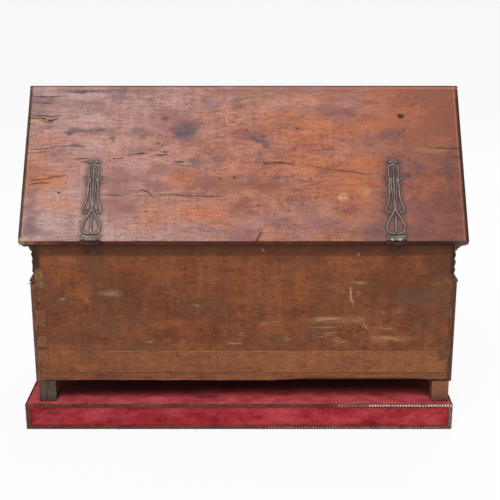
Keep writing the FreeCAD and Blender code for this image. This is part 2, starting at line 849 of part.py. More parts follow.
def hinges(pieces):
    """Both hinges, with their seat in the back board and their nail holes in the wood."""
    strap = without_nails(on_rear_slope(flat_strap()), strap_nails())
    leaf = without_nails(hinge_leaf(), leaf_nails())
    all_strap_nails = []
    all_leaf_nails = []
    for side, x in (("left", -HINGE_X), ("right", HINGE_X)):
        shift = vec(x, 0, 0)
        pieces[f"hinge_strap_{side}"] = strap.translated(shift)
        pieces[f"hinge_leaf_{side}"] = leaf.translated(shift)
        pieces[f"hinge_pin_{side}"] = hinge_pin().translated(shift)
        all_strap_nails += moved_nails(strap_nails(), shift)
        all_leaf_nails += moved_nails(leaf_nails(), shift)
        pieces["back_plank_upper"] = pieces["back_plank_upper"].cut(leaf_seat().translated(shift))
    pieces["lid_rear_slope"] = without_nails(pieces["lid_rear_slope"], all_strap_nails)
    pieces["back_plank_upper"] = without_nails(pieces["back_plank_upper"], all_leaf_nails)
    pieces["strap_nails"] = nail_group(all_strap_nails)
    pieces["leaf_nails"] = nail_group(all_leaf_nails)


def lock(pieces):
    """The lock, its keyhole through the front, and the staple on the lid."""
    pieces["lock_case"] = lock_case()
    pieces["lock_bolt"] = lock_bolt()
    pieces["lock_guides"] = lock_guides()
    pieces["lock_staple"] = without_nails(lock_staple(), staple_nails())
    pieces["staple_nails"] = nail_group(staple_nails())
    pieces["escutcheon"] = without_nails(escutcheon(), escutcheon_nails())
    pieces["escutcheon_nails"] = nail_group(escutcheon_nails())
    for name in ("front_plank_upper", "frieze_front"):
        bored = pieces[name].cut(keyhole(INNER_FRONT, FRONT + LONG))
        pieces[name] = without_nails(bored, escutcheon_nails())


def all_pieces():
    pieces = plinth_core()
    pieces["plinth_velvet"] = plinth_velvet()
    pieces.update(plinth_braids())
    pieces.update(feet())
    pieces.update(carcass())
    pieces.update(mouldings())
    pieces.update(lid_pieces())
    hinges(pieces)
    lock(pieces)
    return pieces


def main():
    os.makedirs("parts", exist_ok=True)
    for name, shape in all_pieces().items():
        shape.exportStep(f"parts/{name}.step")


main()
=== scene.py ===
import math

import bpy
import numpy as np
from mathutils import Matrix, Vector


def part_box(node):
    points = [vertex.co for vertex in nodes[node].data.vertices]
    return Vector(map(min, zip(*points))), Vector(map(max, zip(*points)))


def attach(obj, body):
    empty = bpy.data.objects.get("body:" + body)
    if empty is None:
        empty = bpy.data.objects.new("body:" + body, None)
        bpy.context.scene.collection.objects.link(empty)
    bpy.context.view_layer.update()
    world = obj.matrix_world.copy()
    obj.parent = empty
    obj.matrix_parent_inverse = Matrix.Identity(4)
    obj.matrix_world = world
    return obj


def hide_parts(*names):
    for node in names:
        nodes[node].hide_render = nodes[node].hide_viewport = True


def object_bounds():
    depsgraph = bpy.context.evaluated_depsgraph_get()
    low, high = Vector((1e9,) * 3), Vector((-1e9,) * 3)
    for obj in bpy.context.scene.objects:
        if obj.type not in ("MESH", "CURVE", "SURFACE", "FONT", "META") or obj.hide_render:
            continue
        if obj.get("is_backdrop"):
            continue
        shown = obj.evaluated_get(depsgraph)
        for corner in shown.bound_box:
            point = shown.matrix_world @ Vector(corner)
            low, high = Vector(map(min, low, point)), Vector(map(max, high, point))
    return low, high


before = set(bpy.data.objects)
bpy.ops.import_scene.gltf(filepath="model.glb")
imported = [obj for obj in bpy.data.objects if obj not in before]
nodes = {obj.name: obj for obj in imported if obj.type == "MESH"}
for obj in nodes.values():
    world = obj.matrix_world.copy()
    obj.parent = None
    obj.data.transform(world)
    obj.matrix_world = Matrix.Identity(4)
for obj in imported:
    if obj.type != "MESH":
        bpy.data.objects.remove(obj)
cad_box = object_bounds()

MM = 0.001


def corners(name):
    """The low and the high corner of a solid's box, in millimetres."""
    return [np.array(corner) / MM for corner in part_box(name)]


# Sizes of the object in millimetres, read from its solids where their boxes show them
(_, LID_EAVE_Y, LID_BASE), (LID_HALF, _, _) = np.round(corners("lid_rear_slope"), 3)
(_, BACK, SEAM), (CARCASS_HALF, INNER_BACK, WALL_TOP) = np.round(corners("back_plank_upper"), 3)
WALL_BASE = np.round(corners("back_plank_lower"), 3)[0][2]
HINGE_X = np.round(np.mean(corners("hinge_pin_right"), axis=0), 3)[0]
BOARD = INNER_BACK - BACK
INNER_HALF = CARCASS_HALF - BOARD
PITCH = math.radians(52.6)
RISE = math.sin(PITCH)
RUN = math.cos(PITCH)
LID_THICKNESS = 19.0
LID_EAVE_Z = LID_BASE + LID_THICKNESS * RUN
SLOPE_LENGTH = -LID_EAVE_Y / RUN
RIDGE_SPAN = SLOPE_LENGTH - 2.4
EDGE_WIDTH = 7.0
EDGE_STEP = 1.0
EDGE_DROP = 4.5
LEFT_PINS = ((33.5, 27.0), (61.5, 23.0), (106.5, 33.0), (172.5, 25.0))
RIGHT_PINS = ((36.5, 25.0), (64.0, 18.0), (120.5, 31.0), (172.5, 25.0))
PIN_TAPER = 2.8
HINGE_U = -4.5
HINGE_N = -1.5
KNUCKLE = 4.0
STRAP_HALF = 17.5
STRAP_FOOT_HALF = 16.6
STRAP_LET_IN = -0.3
LEAF_HALF = 9.3
NAIL_PITCH = 5.15
NAIL_RADIUS = 2.0
NAIL_RISE = 1.6
NAIL_INSET = 3.2
NAIL_LIFT = 3.4
CLOTH = 0.8

# Marks under this half width are crisp, thin marks go this deep, and edges have finer lines at these depths
SMALL_PATCH = 13.0
STRIP_DEPTH = 0.6
FINE_EDGE = (0.0, 0.5, 1.2, 2.4)


# Noise and marks

def hashed(ix, iy, iz, seed):
    """A fixed number from 0 to 1 for every lattice point."""
    key = ix * 374761393 + iy * 668265263 + iz * 2147483647 + seed * 1442695041
    key = (key ^ (key >> 13)) * 1274126177
    key = (key ^ (key >> 16)) & 0xFFFFFF
    return key / 0xFFFFFF


def value_noise(x, y, z, seed):
    cells = [np.floor(v).astype(np.int64) for v in (x, y, z)]
    shares = [v - c for v, c in zip((x, y, z), cells)]
    fx, fy, fz = [f * f * (3 - 2 * f) for f in shares]
    total = 0
    for dx, wx in ((0, 1 - fx), (1, fx)):
        for dy, wy in ((0, 1 - fy), (1, fy)):
            for dz, wz in ((0, 1 - fz), (1, fz)):
                total = total + wx * wy * wz * hashed(cells[0] + dx, cells[1] + dy, cells[2] + dz, seed)
    return total


def clouds(x, y, size, seed, z=0.0, octaves=4):
    """Layered noise from 0 to 1 whose largest patches are about size across."""
    x, y, z = np.broadcast_arrays(np.asarray(x, float), y, z)
    total = 0
    weight = 0
    for octave in range(octaves):
        scale = 2.0 ** octave / size
        share = 0.55 ** octave
        total = total + share * value_noise(x * scale, y * scale, z * scale, seed + octave)
        weight += share
    return total / weight


def ramp(value, low, high):
    t = np.clip((value - low) / (high - low), 0, 1)
    return t * t * (3 - 2 * t)


def strongest(*layers):
    """The highest of several values at every point."""
    return np.maximum.reduce(np.broadcast_arrays(*layers))


def line_distance(x, y, places):
    """Distance from each point to a line through the places."""
    best = np.full(np.shape(x), np.inf)
    for (ax, ay), (bx, by) in zip(places, places[1:]):
        dx, dy = bx - ax, by - ay
        t = np.clip(((x - ax) * dx + (y - ay) * dy) / (dx * dx + dy * dy), 0, 1)
        best = np.minimum(best, np.hypot(x - ax - t * dx, y - ay - t * dy))
    return best


def stroke(x, y, places, width, soft):
    return 1 - ramp(line_distance(x, y, places), width / 2, width / 2 + soft)


def blot(x, y, cx, cy, rx, ry, seed, soft=0.5, torn=0.7):
    """A ragged oval patch."""
    ragged = torn * (clouds(x, y, max(4.0, 0.8 * min(rx, ry)), seed) - 0.5)
    return 1 - ramp(np.hypot((x - cx) / rx, (y - cy) / ry) + ragged, 1 - soft, 1 + soft)


def patches(x, y, spots, seed, soft, torn=0.7, crisp=None):
    """The strongest of several ragged patches, each with its middle, half sizes and strength.
    Crisp is the softness of the small ones, where it differs."""
    found = []
    for number, (cx, cy, rx, ry, strength) in enumerate(spots):
        edge = crisp if crisp and rx < SMALL_PATCH else soft
        found.append(strength * blot(x, y, cx, cy, rx, ry, seed + number, edge, torn))
    return strongest(*found)


def pits(x, y, spots, seed):
    """Round holes, each with its middle and radius: where they are, and how deep."""
    holes = [(radius, blot(x, y, cx, cy, radius, radius, seed, 0.35)) for cx, cy, radius in spots]
    return strongest(*[hole for _, hole in holes]), strongest(*[radius * hole for radius, hole in holes])


# Mesh pieces

def new_piece(name, points, faces, material, body, replaced=(), smooth=40.0):
    """A mesh given in millimetres, standing in the row frame."""
    mesh = bpy.data.meshes.new(name)
    mesh.from_pydata((np.asarray(points, float) * MM).tolist(), [], faces)
    mesh.materials.append(material)
    mesh.polygons.foreach_set("use_smooth", [True] * len(mesh.polygons))
    mesh.set_sharp_from_angle(angle=math.radians(smooth))
    piece = bpy.data.objects.new(name, mesh)
    bpy.context.scene.collection.objects.link(piece)
    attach(piece, body)
    if replaced:
        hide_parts(*replaced)
    return piece


def add_layer(piece, name, red, green, blue):
    """Three values from 0 to 1 for every point of the piece."""
    layer = piece.data.color_attributes.new(name, "FLOAT_COLOR", "POINT")
    values = np.ones((len(piece.data.vertices), 4))
    for channel, value in enumerate((red, green, blue)):
        values[:, channel] = np.clip(value, 0, 1)
    layer.data.foreach_set("color", values.ravel())


def slab(outer, inner, kept=None):
    """Points and faces of a board between two grids of points; kept marks the cells that are wood."""
    rows, cols = outer.shape[:2]
    count = rows * cols
    if kept is None:
        kept = np.ones((rows - 1, cols - 1), bool)
    index = np.arange(count).reshape(rows, cols)
    around = (index[:-1, :-1], index[:-1, 1:], index[1:, 1:], index[1:, :-1])
    quads = np.stack([place[kept] for place in around], axis=1)
    starts = quads.ravel()
    ends = np.roll(quads, -1, axis=1).ravel()
    size = 2 * count
    rim = ~np.isin(starts * size + ends, ends * size + starts)
    walls = np.stack([ends[rim], starts[rim], starts[rim] + count, ends[rim] + count], axis=1)
    faces = np.concatenate([quads, quads[:, ::-1] + count, walls])
    used, renumbered = np.unique(faces, return_inverse=True)
    points = np.concatenate([outer.reshape(-1, 3), inner.reshape(-1, 3)])
    return points[used], renumbered.reshape(faces.shape).tolist(), used


def on_face(values, used, both_sides=False):
    """Values of a slab's outer grid for the points that it kept; the inner side has none unless both do."""
    return np.where(both_sides | (used < values.size), values.ravel()[used % values.size], 0.0)


def edge_lines(low, high, step, fine=()):
    """Grid lines from low to high about step apart, with finer lines at given depths from both ends."""
    inner = max(fine, default=0.0)
    count = max(2, round((high - low - 2 * inner) / step) + 1)
    middle = np.linspace(low + inner, high - inner, count)
    extra = [low + d for d in fine] + [high - d for d in fine]
    return np.unique(np.round(np.concatenate([[low, high], extra, middle]), 4))


def block_surface(lines_x, lines_y, lines_z, open_base=False):
    """Points and quads of a closed block whose six sides are grids."""
    lines = (lines_x, lines_y, lines_z)
    points = []
    faces = []
    for axis in range(3):
        u, v = (axis + 1) % 3, (axis + 2) % 3
        for at_end in (0, 1):
            if open_base and axis == 2 and not at_end:
                continue
            grid_u, grid_v = np.meshgrid(lines[u], lines[v], indexing="ij")
            grid = np.empty(grid_u.shape + (3,))
            grid[..., u] = grid_u
            grid[..., v] = grid_v
            grid[..., axis] = lines[axis][-1 if at_end else 0]
            index = np.arange(grid_u.size).reshape(grid_u.shape) + sum(len(p) for p in points)
            quads = np.stack([index[:-1, :-1], index[1:, :-1], index[1:, 1:], index[:-1, 1:]], axis=-1)
            quads = quads.reshape(-1, 4)
            faces.append(quads if at_end else quads[:, ::-1])
            points.append(grid.reshape(-1, 3))
    welded, renumbered = np.unique(np.round(np.concatenate(points), 5), axis=0, return_inverse=True)
    return welded, renumbered.ravel()[np.concatenate(faces)]


def rounded(points, low, high, radius):
    """The points with the block's edges rounded, and the direction in which each faces."""
    core = np.clip(points, np.asarray(low) + radius, np.asarray(high) - radius)
    facing = points - core
    length = np.linalg.norm(facing, axis=1, keepdims=True)
    facing = facing / np.maximum(length, 1e-9)
    return core + facing * radius, facing


def smooth_line(places, count):
    """Evenly read points of a smooth line through the places."""
    p = np.asarray(places, float)
    padded = np.concatenate([[2 * p[0] - p[1]], p, [2 * p[-1] - p[-2]]])
    out = []
    steps = max(2, count // (len(p) - 1))
    for i in range(len(p) - 1):
        a, b, c, d = padded[i:i + 4]
        for t in np.arange(steps) / steps:
            out.append(0.5 * (2 * b + (c - a) * t + (2 * a - 5 * b + 4 * c - d) * t * t
                              + (3 * b - a - 3 * c + d) * t ** 3))
    out.append(p[-1])
    return np.array(out)


def joined(shapes):
    """Several point and face lists as one."""
    points = []
    faces = []
    count = 0
    for shape_points, shape_faces in shapes:
        faces += [[int(i) + count for i in face] for face in shape_faces]
        points.append(shape_points)
        count += len(shape_points)
    return np.concatenate(points), faces


def tube(edges):
    """A closed bar between lines of points that run side by side round it."""
    around = len(edges)
    count = len(edges[0])
    faces = []
    for k in range(around):
        a, b = k * count, (k + 1) % around * count
        faces += [[a + i, a + i + 1, b + i + 1, b + i] for i in range(count - 1)]
    faces.append([k * count for k in range(around)])
    faces.append([k * count + count - 1 for k in range(around)][::-1])
    return np.concatenate(edges), faces


def ring_faces(rings, sides, capped=True):
    """Faces between rings of points that follow each other, and over the first and the last ring."""
    faces = []
    for i in range(rings - 1):
        for k in range(sides):
            j = (k + 1) % sides
            faces.append([i * sides + k, i * sides + j, (i + 1) * sides + j, (i + 1) * sides + k])
    if capped:
        last = (rings - 1) * sides
        faces += [list(range(sides))[::-1], list(range(last, last + sides))]
    return faces


def sliver(places, width, rng, wander):
    """Both edges of a thin strip that tapers to its ends and wanders a little from its line."""
    p = np.asarray(places, float)
    run = np.concatenate([[0], np.cumsum(np.linalg.norm(np.diff(p, axis=0), axis=1))])
    count = max(5, int(run[-1] / 3.0))
    at = np.linspace(0, run[-1], count)
    line = np.stack([np.interp(at, run, p[:, axis]) for axis in (0, 1)], axis=1)
    line += rng.normal(0, wander, line.shape) * np.array([0.3, 1.0])
    tangent = np.gradient(line, axis=0)
    tangent /= np.linalg.norm(tangent, axis=1, keepdims=True)
    aside = np.stack([-tangent[:, 1], tangent[:, 0]], axis=1)
    taper = np.sin(np.linspace(0.1, math.pi - 0.1, count)) ** 0.7
    half = 0.5 * width * taper * rng.uniform(0.45, 1.0, count)
    return line - aside * half[:, None], line + aside * half[:, None]


def slivers(name, strokes, surface, material, body, seed, wander=0.35):
    """Thin marks let into a face: each stroke is a width and its line, and surface gives a point's place.
    Each strip stands a little higher or lower than the others, so that none share a plane."""
    rng = np.random.default_rng(seed)
    strips = []
    for width, places in strokes:
        near, far = sliver(places, width, rng, wander)
        lift = rng.uniform(0.05, 0.35)
        low = lift - STRIP_DEPTH
        edges = ((near, lift), (far, lift), (far, low), (near, low))
        strips.append(tube([np.insert(edge, 2, height, axis=1) for edge, height in edges]))
    flat, faces = joined(strips)
    new_piece(name, surface(*flat.T), faces, material, body)


def slope_place(x, u, n):
    """A point by its place along the chest, up the rear slope from the eave, and out of it."""
    x, u, n = np.broadcast_arrays(np.asarray(x, float), u, n)
    return np.stack([x, LID_EAVE_Y + u * RUN - n * RISE, LID_EAVE_Z + u * RISE + n * RUN], axis=-1)


# Materials

def paint(colour, share=1.0):
    """A colour written as it shows on a screen, made darker or lighter by a share."""
    out = []
    for value in colour:
        value = min(255, share * value) / 255.0
        out.append(value / 12.92 if value <= 0.04045 else ((value + 0.055) / 1.055) ** 2.4)
    return (*out, 1.0)


class Nodes:
    """The nodes of a material or of the world."""

    def __init__(self, owner):
        owner.use_nodes = True
        self.tree = owner.node_tree
        self.tree.nodes.clear()

    def feed(self, made, inputs):
        """Sets inputs of a node to values, or links them to other nodes."""
        for key, value in inputs.items():
            if isinstance(value, bpy.types.NodeSocket):
                self.tree.links.new(value, made.inputs[key])
            else:
                made.inputs[key].default_value = value

    def add(self, kind, inputs=None, **settings):
        made = self.tree.nodes.new(kind)
        for key, value in settings.items():
            setattr(made, key, value)
        self.feed(made, inputs or {})
        return made

    def math(self, operation, a, b=0.0, c=0.0, clamp=False):
        inputs = {0: a, 1: b, 2: c}
        return self.add("ShaderNodeMath", inputs, operation=operation, use_clamp=clamp).outputs[0]

    def times(self, a, b):
        return self.math("MULTIPLY", a, b)

    def mixed(self, *parts):
        """The sum of values, each times its share."""
        total = 0.0
        for value, share in parts:
            total = self.math("MULTIPLY_ADD", value, share, total)
        return total

    def span(self, value, low, high, to_low=0.0, to_high=1.0):
        """A value read from one range into another."""
        return self.add("ShaderNodeMapRange", {0: value, 1: low, 2: high, 3: to_low, 4: to_high}).outputs[0]

    def parts(self, colour):
        """The red, green and blue of a colour."""
        return self.add("ShaderNodeSeparateColor", {0: colour}).outputs

    def layer(self, name):
        """The three values that a piece holds in one of its layers."""
        return self.parts(self.add("ShaderNodeAttribute", attribute_name=name).outputs["Color"])


class Finish(Nodes):
    """A material in the making, whose colour is built up coat by coat."""

    def __init__(self, name, seed):
        self.material = bpy.data.materials.new(name)
        super().__init__(self.material)
        self.surface = self.add("ShaderNodeBsdfPrincipled")
        self.output = self.add("ShaderNodeOutputMaterial", {"Surface": self.surface.outputs["BSDF"]})
        self.place = self.shifted(seed)
        self.colour = None

    def shifted(self, shift):
        """Places on the piece, moved so that materials don't share a pattern."""
        place = self.add("ShaderNodeTexCoord").outputs["Object"]
        away = (shift * 1.7, shift * 2.3, shift * 0.9)
        return self.add("ShaderNodeVectorMath", {0: place, 1: away}).outputs[0]

    def stretched(self, stretch, place=None):
        inputs = {0: self.place if place is None else place, 1: stretch}
        return self.add("ShaderNodeVectorMath", inputs, operation="MULTIPLY").outputs[0]

    def noise(self, scale, detail, rough, stretch=(1, 1, 1), place=None):
        vector = self.stretched(stretch, place)
        inputs = {"Vector": vector, "Scale": scale, "Detail": detail, "Roughness": rough}
        return self.add("ShaderNodeTexNoise", inputs).outputs["Fac"]

    def cells(self, scale, vector=None):
        inputs = {"Vector": self.place if vector is None else vector, "Scale": scale}
        return self.add("ShaderNodeTexVoronoi", inputs).outputs

    def upward(self):
        """How far a face looks up when the piece is at rest."""
        facing = self.add("ShaderNodeTexCoord").outputs["Normal"]
        return self.add("ShaderNodeSeparateXYZ", {0: facing}).outputs["Z"]

    def edge_wear(self, radius):
        """High on sharp edges, low on flat faces."""
        bent = self.add("ShaderNodeBevel", {"Radius": radius}, samples=4).outputs[0]
        normal = self.add("ShaderNodeNewGeometry").outputs["Normal"]
        same = self.add("ShaderNodeVectorMath", {0: bent, 1: normal}, operation="DOT_PRODUCT")
        return self.span(same.outputs["Value"], 0.995, 0.8)

    def hollow_dirt_and_shade(self, reach):
        """High in corners and hollows, where grime gathers and shade falls: a mask for grime and painted
        shade.
        """
        open_share = self.add("ShaderNodeAmbientOcclusion", {"Distance": reach}, samples=6).outputs["AO"]
        return self.span(open_share, 0.95, 0.35)

    def tones(self, value, stops):
        """The first coat: a colour at each of a few places along the value."""
        made = self.add("ShaderNodeValToRGB", {0: value})
        elements = made.color_ramp.elements
        while len(elements) < len(stops):
            elements.new(0.5)
        for element, (place, colour) in zip(elements, stops):
            element.position = place
            element.color = paint(colour)
        self.colour = made.outputs[0]

    def blend(self, share, first, second):
        return self.add("ShaderNodeMix", {0: share, 6: first, 7: second}, data_type="RGBA").outputs[2]

    def coat(self, share, colour):
        """Lays one more colour over those below."""
        self.colour = self.blend(share, self.colour, colour)

    def bump(self, height, strength, depth):
        inputs = {"Height": height, "Strength": strength, "Distance": depth}
        return self.add("ShaderNodeBump", inputs).outputs[0]

    def done(self, inputs):
        self.feed(self.surface, {"Base Color": self.colour, **inputs})
        return self.material


def along(axis, share):
    """Noise stretched along the grain."""
    return tuple(share if name == axis else 1.0 for name in "XYZ")


def across_grain(axis, share):
    """Noise stretched across the grain."""
    return tuple(1.0 if name == axis else share for name in "XYZ")


def drying_checks(f, axis):
    """Thin broken cracks along the grain."""
    waves = f.noise(34.0, 2.0, 0.5, along(axis, 0.06))
    line = f.span(f.math("ABSOLUTE", f.math("SUBTRACT", waves, 0.5)), 0.006, 0.0015)
    kept = f.span(f.noise(21.0, 2.0, 0.5, along(axis, 0.5)), 0.56, 0.62)
    return f.times(line, kept)


def worm_holes(f):
    return f.span(f.cells(42.0)["Distance"], 0.042, 0.028)


def grime_dots(f):
    """Small scattered dark dots."""
    cells = f.cells(95.0)
    dot = f.span(cells["Distance"], 0.13, 0.05, 0.0, 0.75)
    return f.times(dot, f.span(f.parts(cells["Color"])["Red"], 0.62, 0.9))


def add_mottle(f, axis, seed, mottle):
    """Soft patches, a little longer along the grain, each with its scale, threshold, strength and colour."""
    for number, (scale, low, share, shown) in enumerate(mottle):
        place = f.shifted(seed + 0.37 * (number + 1))
        patch = f.noise(scale, 6.0, 0.68, along(axis, 0.75), place)
        f.coat(f.span(patch, low, low + 0.11, 0.0, share), paint(shown))


def add_layers(f, layers, ragged):
    """Coats of the painted layers: each is a layer name, three colours for its values, and if it is torn.
    The grain shows through the colours and tears their edges."""
    grain = f.span(ragged, 0.5, 1.4)
    for layer, colours, torn in layers:
        for value, shown in zip(f.layer(layer), colours):
            share = f.math("MULTIPLY", value, ragged, clamp=True) if torn else value
            f.coat(share, f.blend(grain, paint(shown, 0.92), paint(shown, 1.07)))


def wood(name, tones, axis, seed, rough=0.5, gloss=0.35, dirt_and_shade=0.6, wear=0.5, worn=(176, 132, 98), mottle=(),
         layers=(), under=None, reach=0.05, fine=0.2, rays=0.08, spread=0.08, open_pores=0.4):
    """Aged wood with its grain along one axis. Layers are painted marks, some of them painted shade and
    highlights; under is the colour of its lower faces, partly their bare wood and partly painted shade;
    reach is how short the grain is, fine and rays are the shares of specks and of lines across the grain,
    and spread is the calm of the tones."""
    f = Finish(name, seed)
    broad = f.noise(7.0, 4.0, 0.55, along(axis, 0.35))
    bands = f.noise(38.0, 4.0, 0.6, along(axis, 1.4 * reach))
    streak = f.noise(190.0, 3.0, 0.6, along(axis, reach))
    lines = f.noise(430.0, 2.0, 0.6, along(axis, 1.6 * reach))
    specks = f.noise(420.0, 3.0, 0.7, along(axis, 0.7))
    cross = f.noise(130.0, 3.0, 0.6, across_grain(axis, 0.14))
    flecks = f.parts(f.cells(330.0, f.stretched(along(axis, 1.5 * reach)))["Color"])["Red"]
    pores = f.span(f.noise(620.0, 2.0, 0.5, along(axis, 0.07)), 0.6, 0.7)
    thin = (0.6 - fine - rays) / 2
    shares = (0.16, 0.17, thin, thin, fine, rays, 0.07)
    mixed = f.mixed(*zip((broad, bands, streak, lines, specks, cross, flecks), shares))
    low, high = 0.5 - spread, 0.5 + spread
    f.tones(mixed, list(zip((low, 0.5, high), tones)))
    add_mottle(f, axis, seed, mottle)
    f.coat(f.times(pores, open_pores), paint(tones[0], 0.55))
    add_layers(f, layers, f.span(mixed, low, high, 0.5, 1.4))
    # Lower faces darker: bare underside and end grain, and painted shade
    if under:
        shaded = f.blend(f.span(mixed, low, high), paint(under, 0.66), paint(under, 1.12))
        rims = f.layer("rims")
        shaded = f.blend(rims["Blue"], shaded, paint(worn))
        # Painted shade on the eave's face, from the rims layer
        shaded = f.blend(rims["Red"], shaded, paint(under, 0.45))
        f.coat(f.span(f.upward(), 0.05, -0.2), shaded)
    if layers:
        f.coat(grime_dots(f), paint(tones[0], 0.4))
    elif wear:
        f.coat(f.math("MAXIMUM", worm_holes(f), drying_checks(f, axis)), paint((28, 18, 14)))
    f.coat(f.times(f.edge_wear(0.0016), wear), paint(worn))
    # Grime and painted shade in corners and hollows
    f.coat(f.times(f.hollow_dirt_and_shade(0.014), dirt_and_shade), paint((34, 22, 17)))
    relief = f.mixed((streak, 0.6), (lines, 0.3), (pores, -0.3))
    return f.done({
        "Roughness": f.span(bands, 0.3, 0.7, rough - 0.08, rough + 0.1),
        "Specular IOR Level": gloss,
        "Normal": f.bump(relief, 0.35, 0.0006),
    })


def iron(name, base, rust, rubbed, rough=0.5, metal=0.3, layers=(), gloss=0.5):
    """Old wrought iron, brown where it has rusted and lighter where it is rubbed."""
    f = Finish(name, 3)
    blotches = f.noise(60.0, 5.0, 0.65)
    grains = f.noise(700.0, 3.0, 0.6)
    f.tones(blotches, [(0.38, base), (0.5, rust), (0.62, [0.8 * c for c in base])])
    f.coat(f.span(grains, 0.5, 0.7, 0.0, 0.35), paint(rust, 0.6))
    f.coat(f.times(f.edge_wear(0.0012), 0.5), paint(rubbed))
    add_layers(f, layers, f.span(blotches, 0.35, 0.6, 0.6, 1.1))
    # Grime and painted shade in the iron's hollows
    f.coat(f.times(f.hollow_dirt_and_shade(0.004), 0.9), paint((34, 25, 21)))
    return f.done({
        "Metallic": metal,
        "Specular IOR Level": gloss,
        "Roughness": f.span(blotches, 0.3, 0.7, rough - 0.1, rough + 0.15),
        "Normal": f.bump(f.math("MULTIPLY_ADD", grains, 0.4, blotches), 0.4, 0.0007),
    })


def velvet(name):
    """Worn red pile, rubbed and dust-coloured in patches, with painted light on top and painted shade under
    the chest.
    """
    f = Finish(name, 5)
    faded = f.noise(17.0, 5.0, 0.62, (0.7, 1, 1.3))
    brushed = f.noise(70.0, 4.0, 0.6, (0.5, 1, 1))
    dust = f.noise(26.0, 5.0, 0.65, (0.6, 1, 1))
    fuzz = f.noise(360.0, 3.0, 0.6)
    pile = f.noise(1400.0, 2.0, 0.5)
    mixed = f.mixed((faded, 0.42), (brushed, 0.26), (fuzz, 0.22), (pile, 0.1))
    f.tones(mixed, [(0.41, (122, 22, 30)), (0.5, (166, 42, 52)), (0.59, (190, 68, 76))])
    dust_and_top_light = f.span(dust, 0.44, 0.65, 0.0, 0.4)
    settled_and_lit = f.span(brushed, 0.4, 0.6, 0.15, 0.55)
    # Lighter on its top faces: dust and painted light
    dust_and_top_light = f.math("MULTIPLY_ADD", settled_and_lit, f.span(f.upward(), 0.2, 0.8), dust_and_top_light, clamp=True)
    f.coat(dust_and_top_light, paint((218, 98, 102)))
    # Darker under the chest: painted shade and less faded cloth
    f.coat(f.layer("unfaded_and_shaded")["Red"], paint((84, 42, 43)))
    # Grime and painted shade in the cloth's hollows and under the chest
    f.coat(f.times(f.hollow_dirt_and_shade(0.012), 0.4), paint((60, 16, 18)))
    return f.done({
        "Roughness": 0.9,
        "Specular IOR Level": 0.1,
        "Sheen Weight": 0.35,
        "Sheen Roughness": 0.45,
        "Sheen Tint": paint((230, 120, 122)),
        "Normal": f.bump(f.math("MULTIPLY_ADD", brushed, 0.6, pile), 0.5, 0.0008),
    })


def braid_cloth(name):
    """Tarnished galloon with a slanting weave, in dull browns."""
    f = Finish(name, 7)
    inputs = {"Vector": f.place, "Scale": 260.0, "Distortion": 1.5, "Detail": 1.0}
    weave = f.add("ShaderNodeTexWave", inputs, bands_direction="DIAGONAL").outputs["Fac"]
    f.tones(f.noise(30.0, 4.0, 0.6), [(0.38, (92, 36, 29)), (0.5, (122, 54, 43)), (0.62, (144, 75, 60))])
    f.coat(f.times(weave, 0.35), paint((66, 42, 40)))
    return f.done({"Roughness": 0.8, "Normal": f.bump(weave, 0.5, 0.0006)})


def nail_metal(name, dark, light, metal, rough):
    f = Finish(name, 9)
    blotches = f.noise(120.0, 3.0, 0.6)
    f.tones(blotches, [(0.35, dark), (0.65, light)])
    # Grime and painted shade about the nail heads
    f.coat(f.times(f.hollow_dirt_and_shade(0.003), 0.7), paint((38, 28, 24)))
    return f.done({"Metallic": metal, "Roughness": f.span(blotches, 0.3, 0.7, rough - 0.08, rough + 0.12)})


# Marks on the rear slope of the lid, as places along the chest and up the slope

LID_CRACKS = (
    (1.7, [(-393, 241), (-380, 239), (-368, 240), (-352, 234), (-338, 240)]),
    (1.1, [(-389, 244), (-372, 246), (-345, 243), (-332, 246)]),
    (0.9, [(-372, 236), (-356, 231), (-346, 232)]), (0.5, [(-390, 170), (-372, 171), (-347, 173)]),
    (0.4, [(-385, 176), (-366, 178), (-338, 180)]), (0.35, [(-350, 182), (-300, 184)]),
    (1.0, [(-306, 158), (-290, 159), (-277, 160)]), (0.9, [(-292, 152), (-274, 152)]),
    (0.9, [(-383, 107), (-364, 111), (-347, 110)]), (0.9, [(-378, 115), (-349, 119), (-327, 123)]),
    (0.7, [(-352, 124), (-318, 125)]), (0.5, [(-390, 285), (-360, 284), (-326, 286)]),
    (0.35, [(-388, 272), (-352, 271)]), (0.9, [(-236, 159), (-225, 158), (-214, 160)]),
    (0.8, [(-209, 165), (-190, 168), (-172, 169)]), (1.0, [(-159, 165), (-148, 164), (-137, 167)]),
    (1.3, [(-124, 153), (-114, 153), (-105, 152)]), (0.8, [(-150, 172), (-138, 171)]),
    (0.7, [(-252, 88), (-216, 87)]), (0.5, [(-196, 86), (-130, 86), (-90, 85), (-34, 84)]),
    (0.7, [(-150, 89), (-104, 88)]), (0.8, [(-192, 91), (-185, 96), (-179, 97), (-168, 93), (-159, 83)]),
    (0.9, [(-5, 150), (50, 152), (85, 148), (118, 145)]),
    (0.5, [(118, 145), (159, 136), (200, 131), (227, 126)]), (0.6, [(30, 149), (70, 148)]),
    (1.0, [(330, 180), (356, 179), (393, 179)]), (1.0, [(376, 162), (393, 162)]),
    (0.6, [(-160, 190), (-148, 189)]), (0.6, [(-156, 205), (-146, 204)]),
)
LID_BARE = (
    (0.9, [(306, 184), (342, 181), (372, 182)]), (1.2, [(312, 177), (345, 176), (366, 175)]),
    (0.9, [(302, 171), (330, 172), (352, 170)]), (0.8, [(326, 187), (350, 187)]),
    (0.9, [(340, 167), (368, 169)]), (1.0, [(-384, 111), (-360, 115), (-340, 114)]),
    (0.9, [(-370, 121), (-345, 126)]), (0.9, [(-384, 238), (-364, 236), (-352, 238)]),
    (0.9, [(-122, 150), (-106, 149)]), (0.7, [(-236, 157), (-216, 157)]),
)
EAVE_CHIP = ((31, 16), (26, 7), (20, -4))
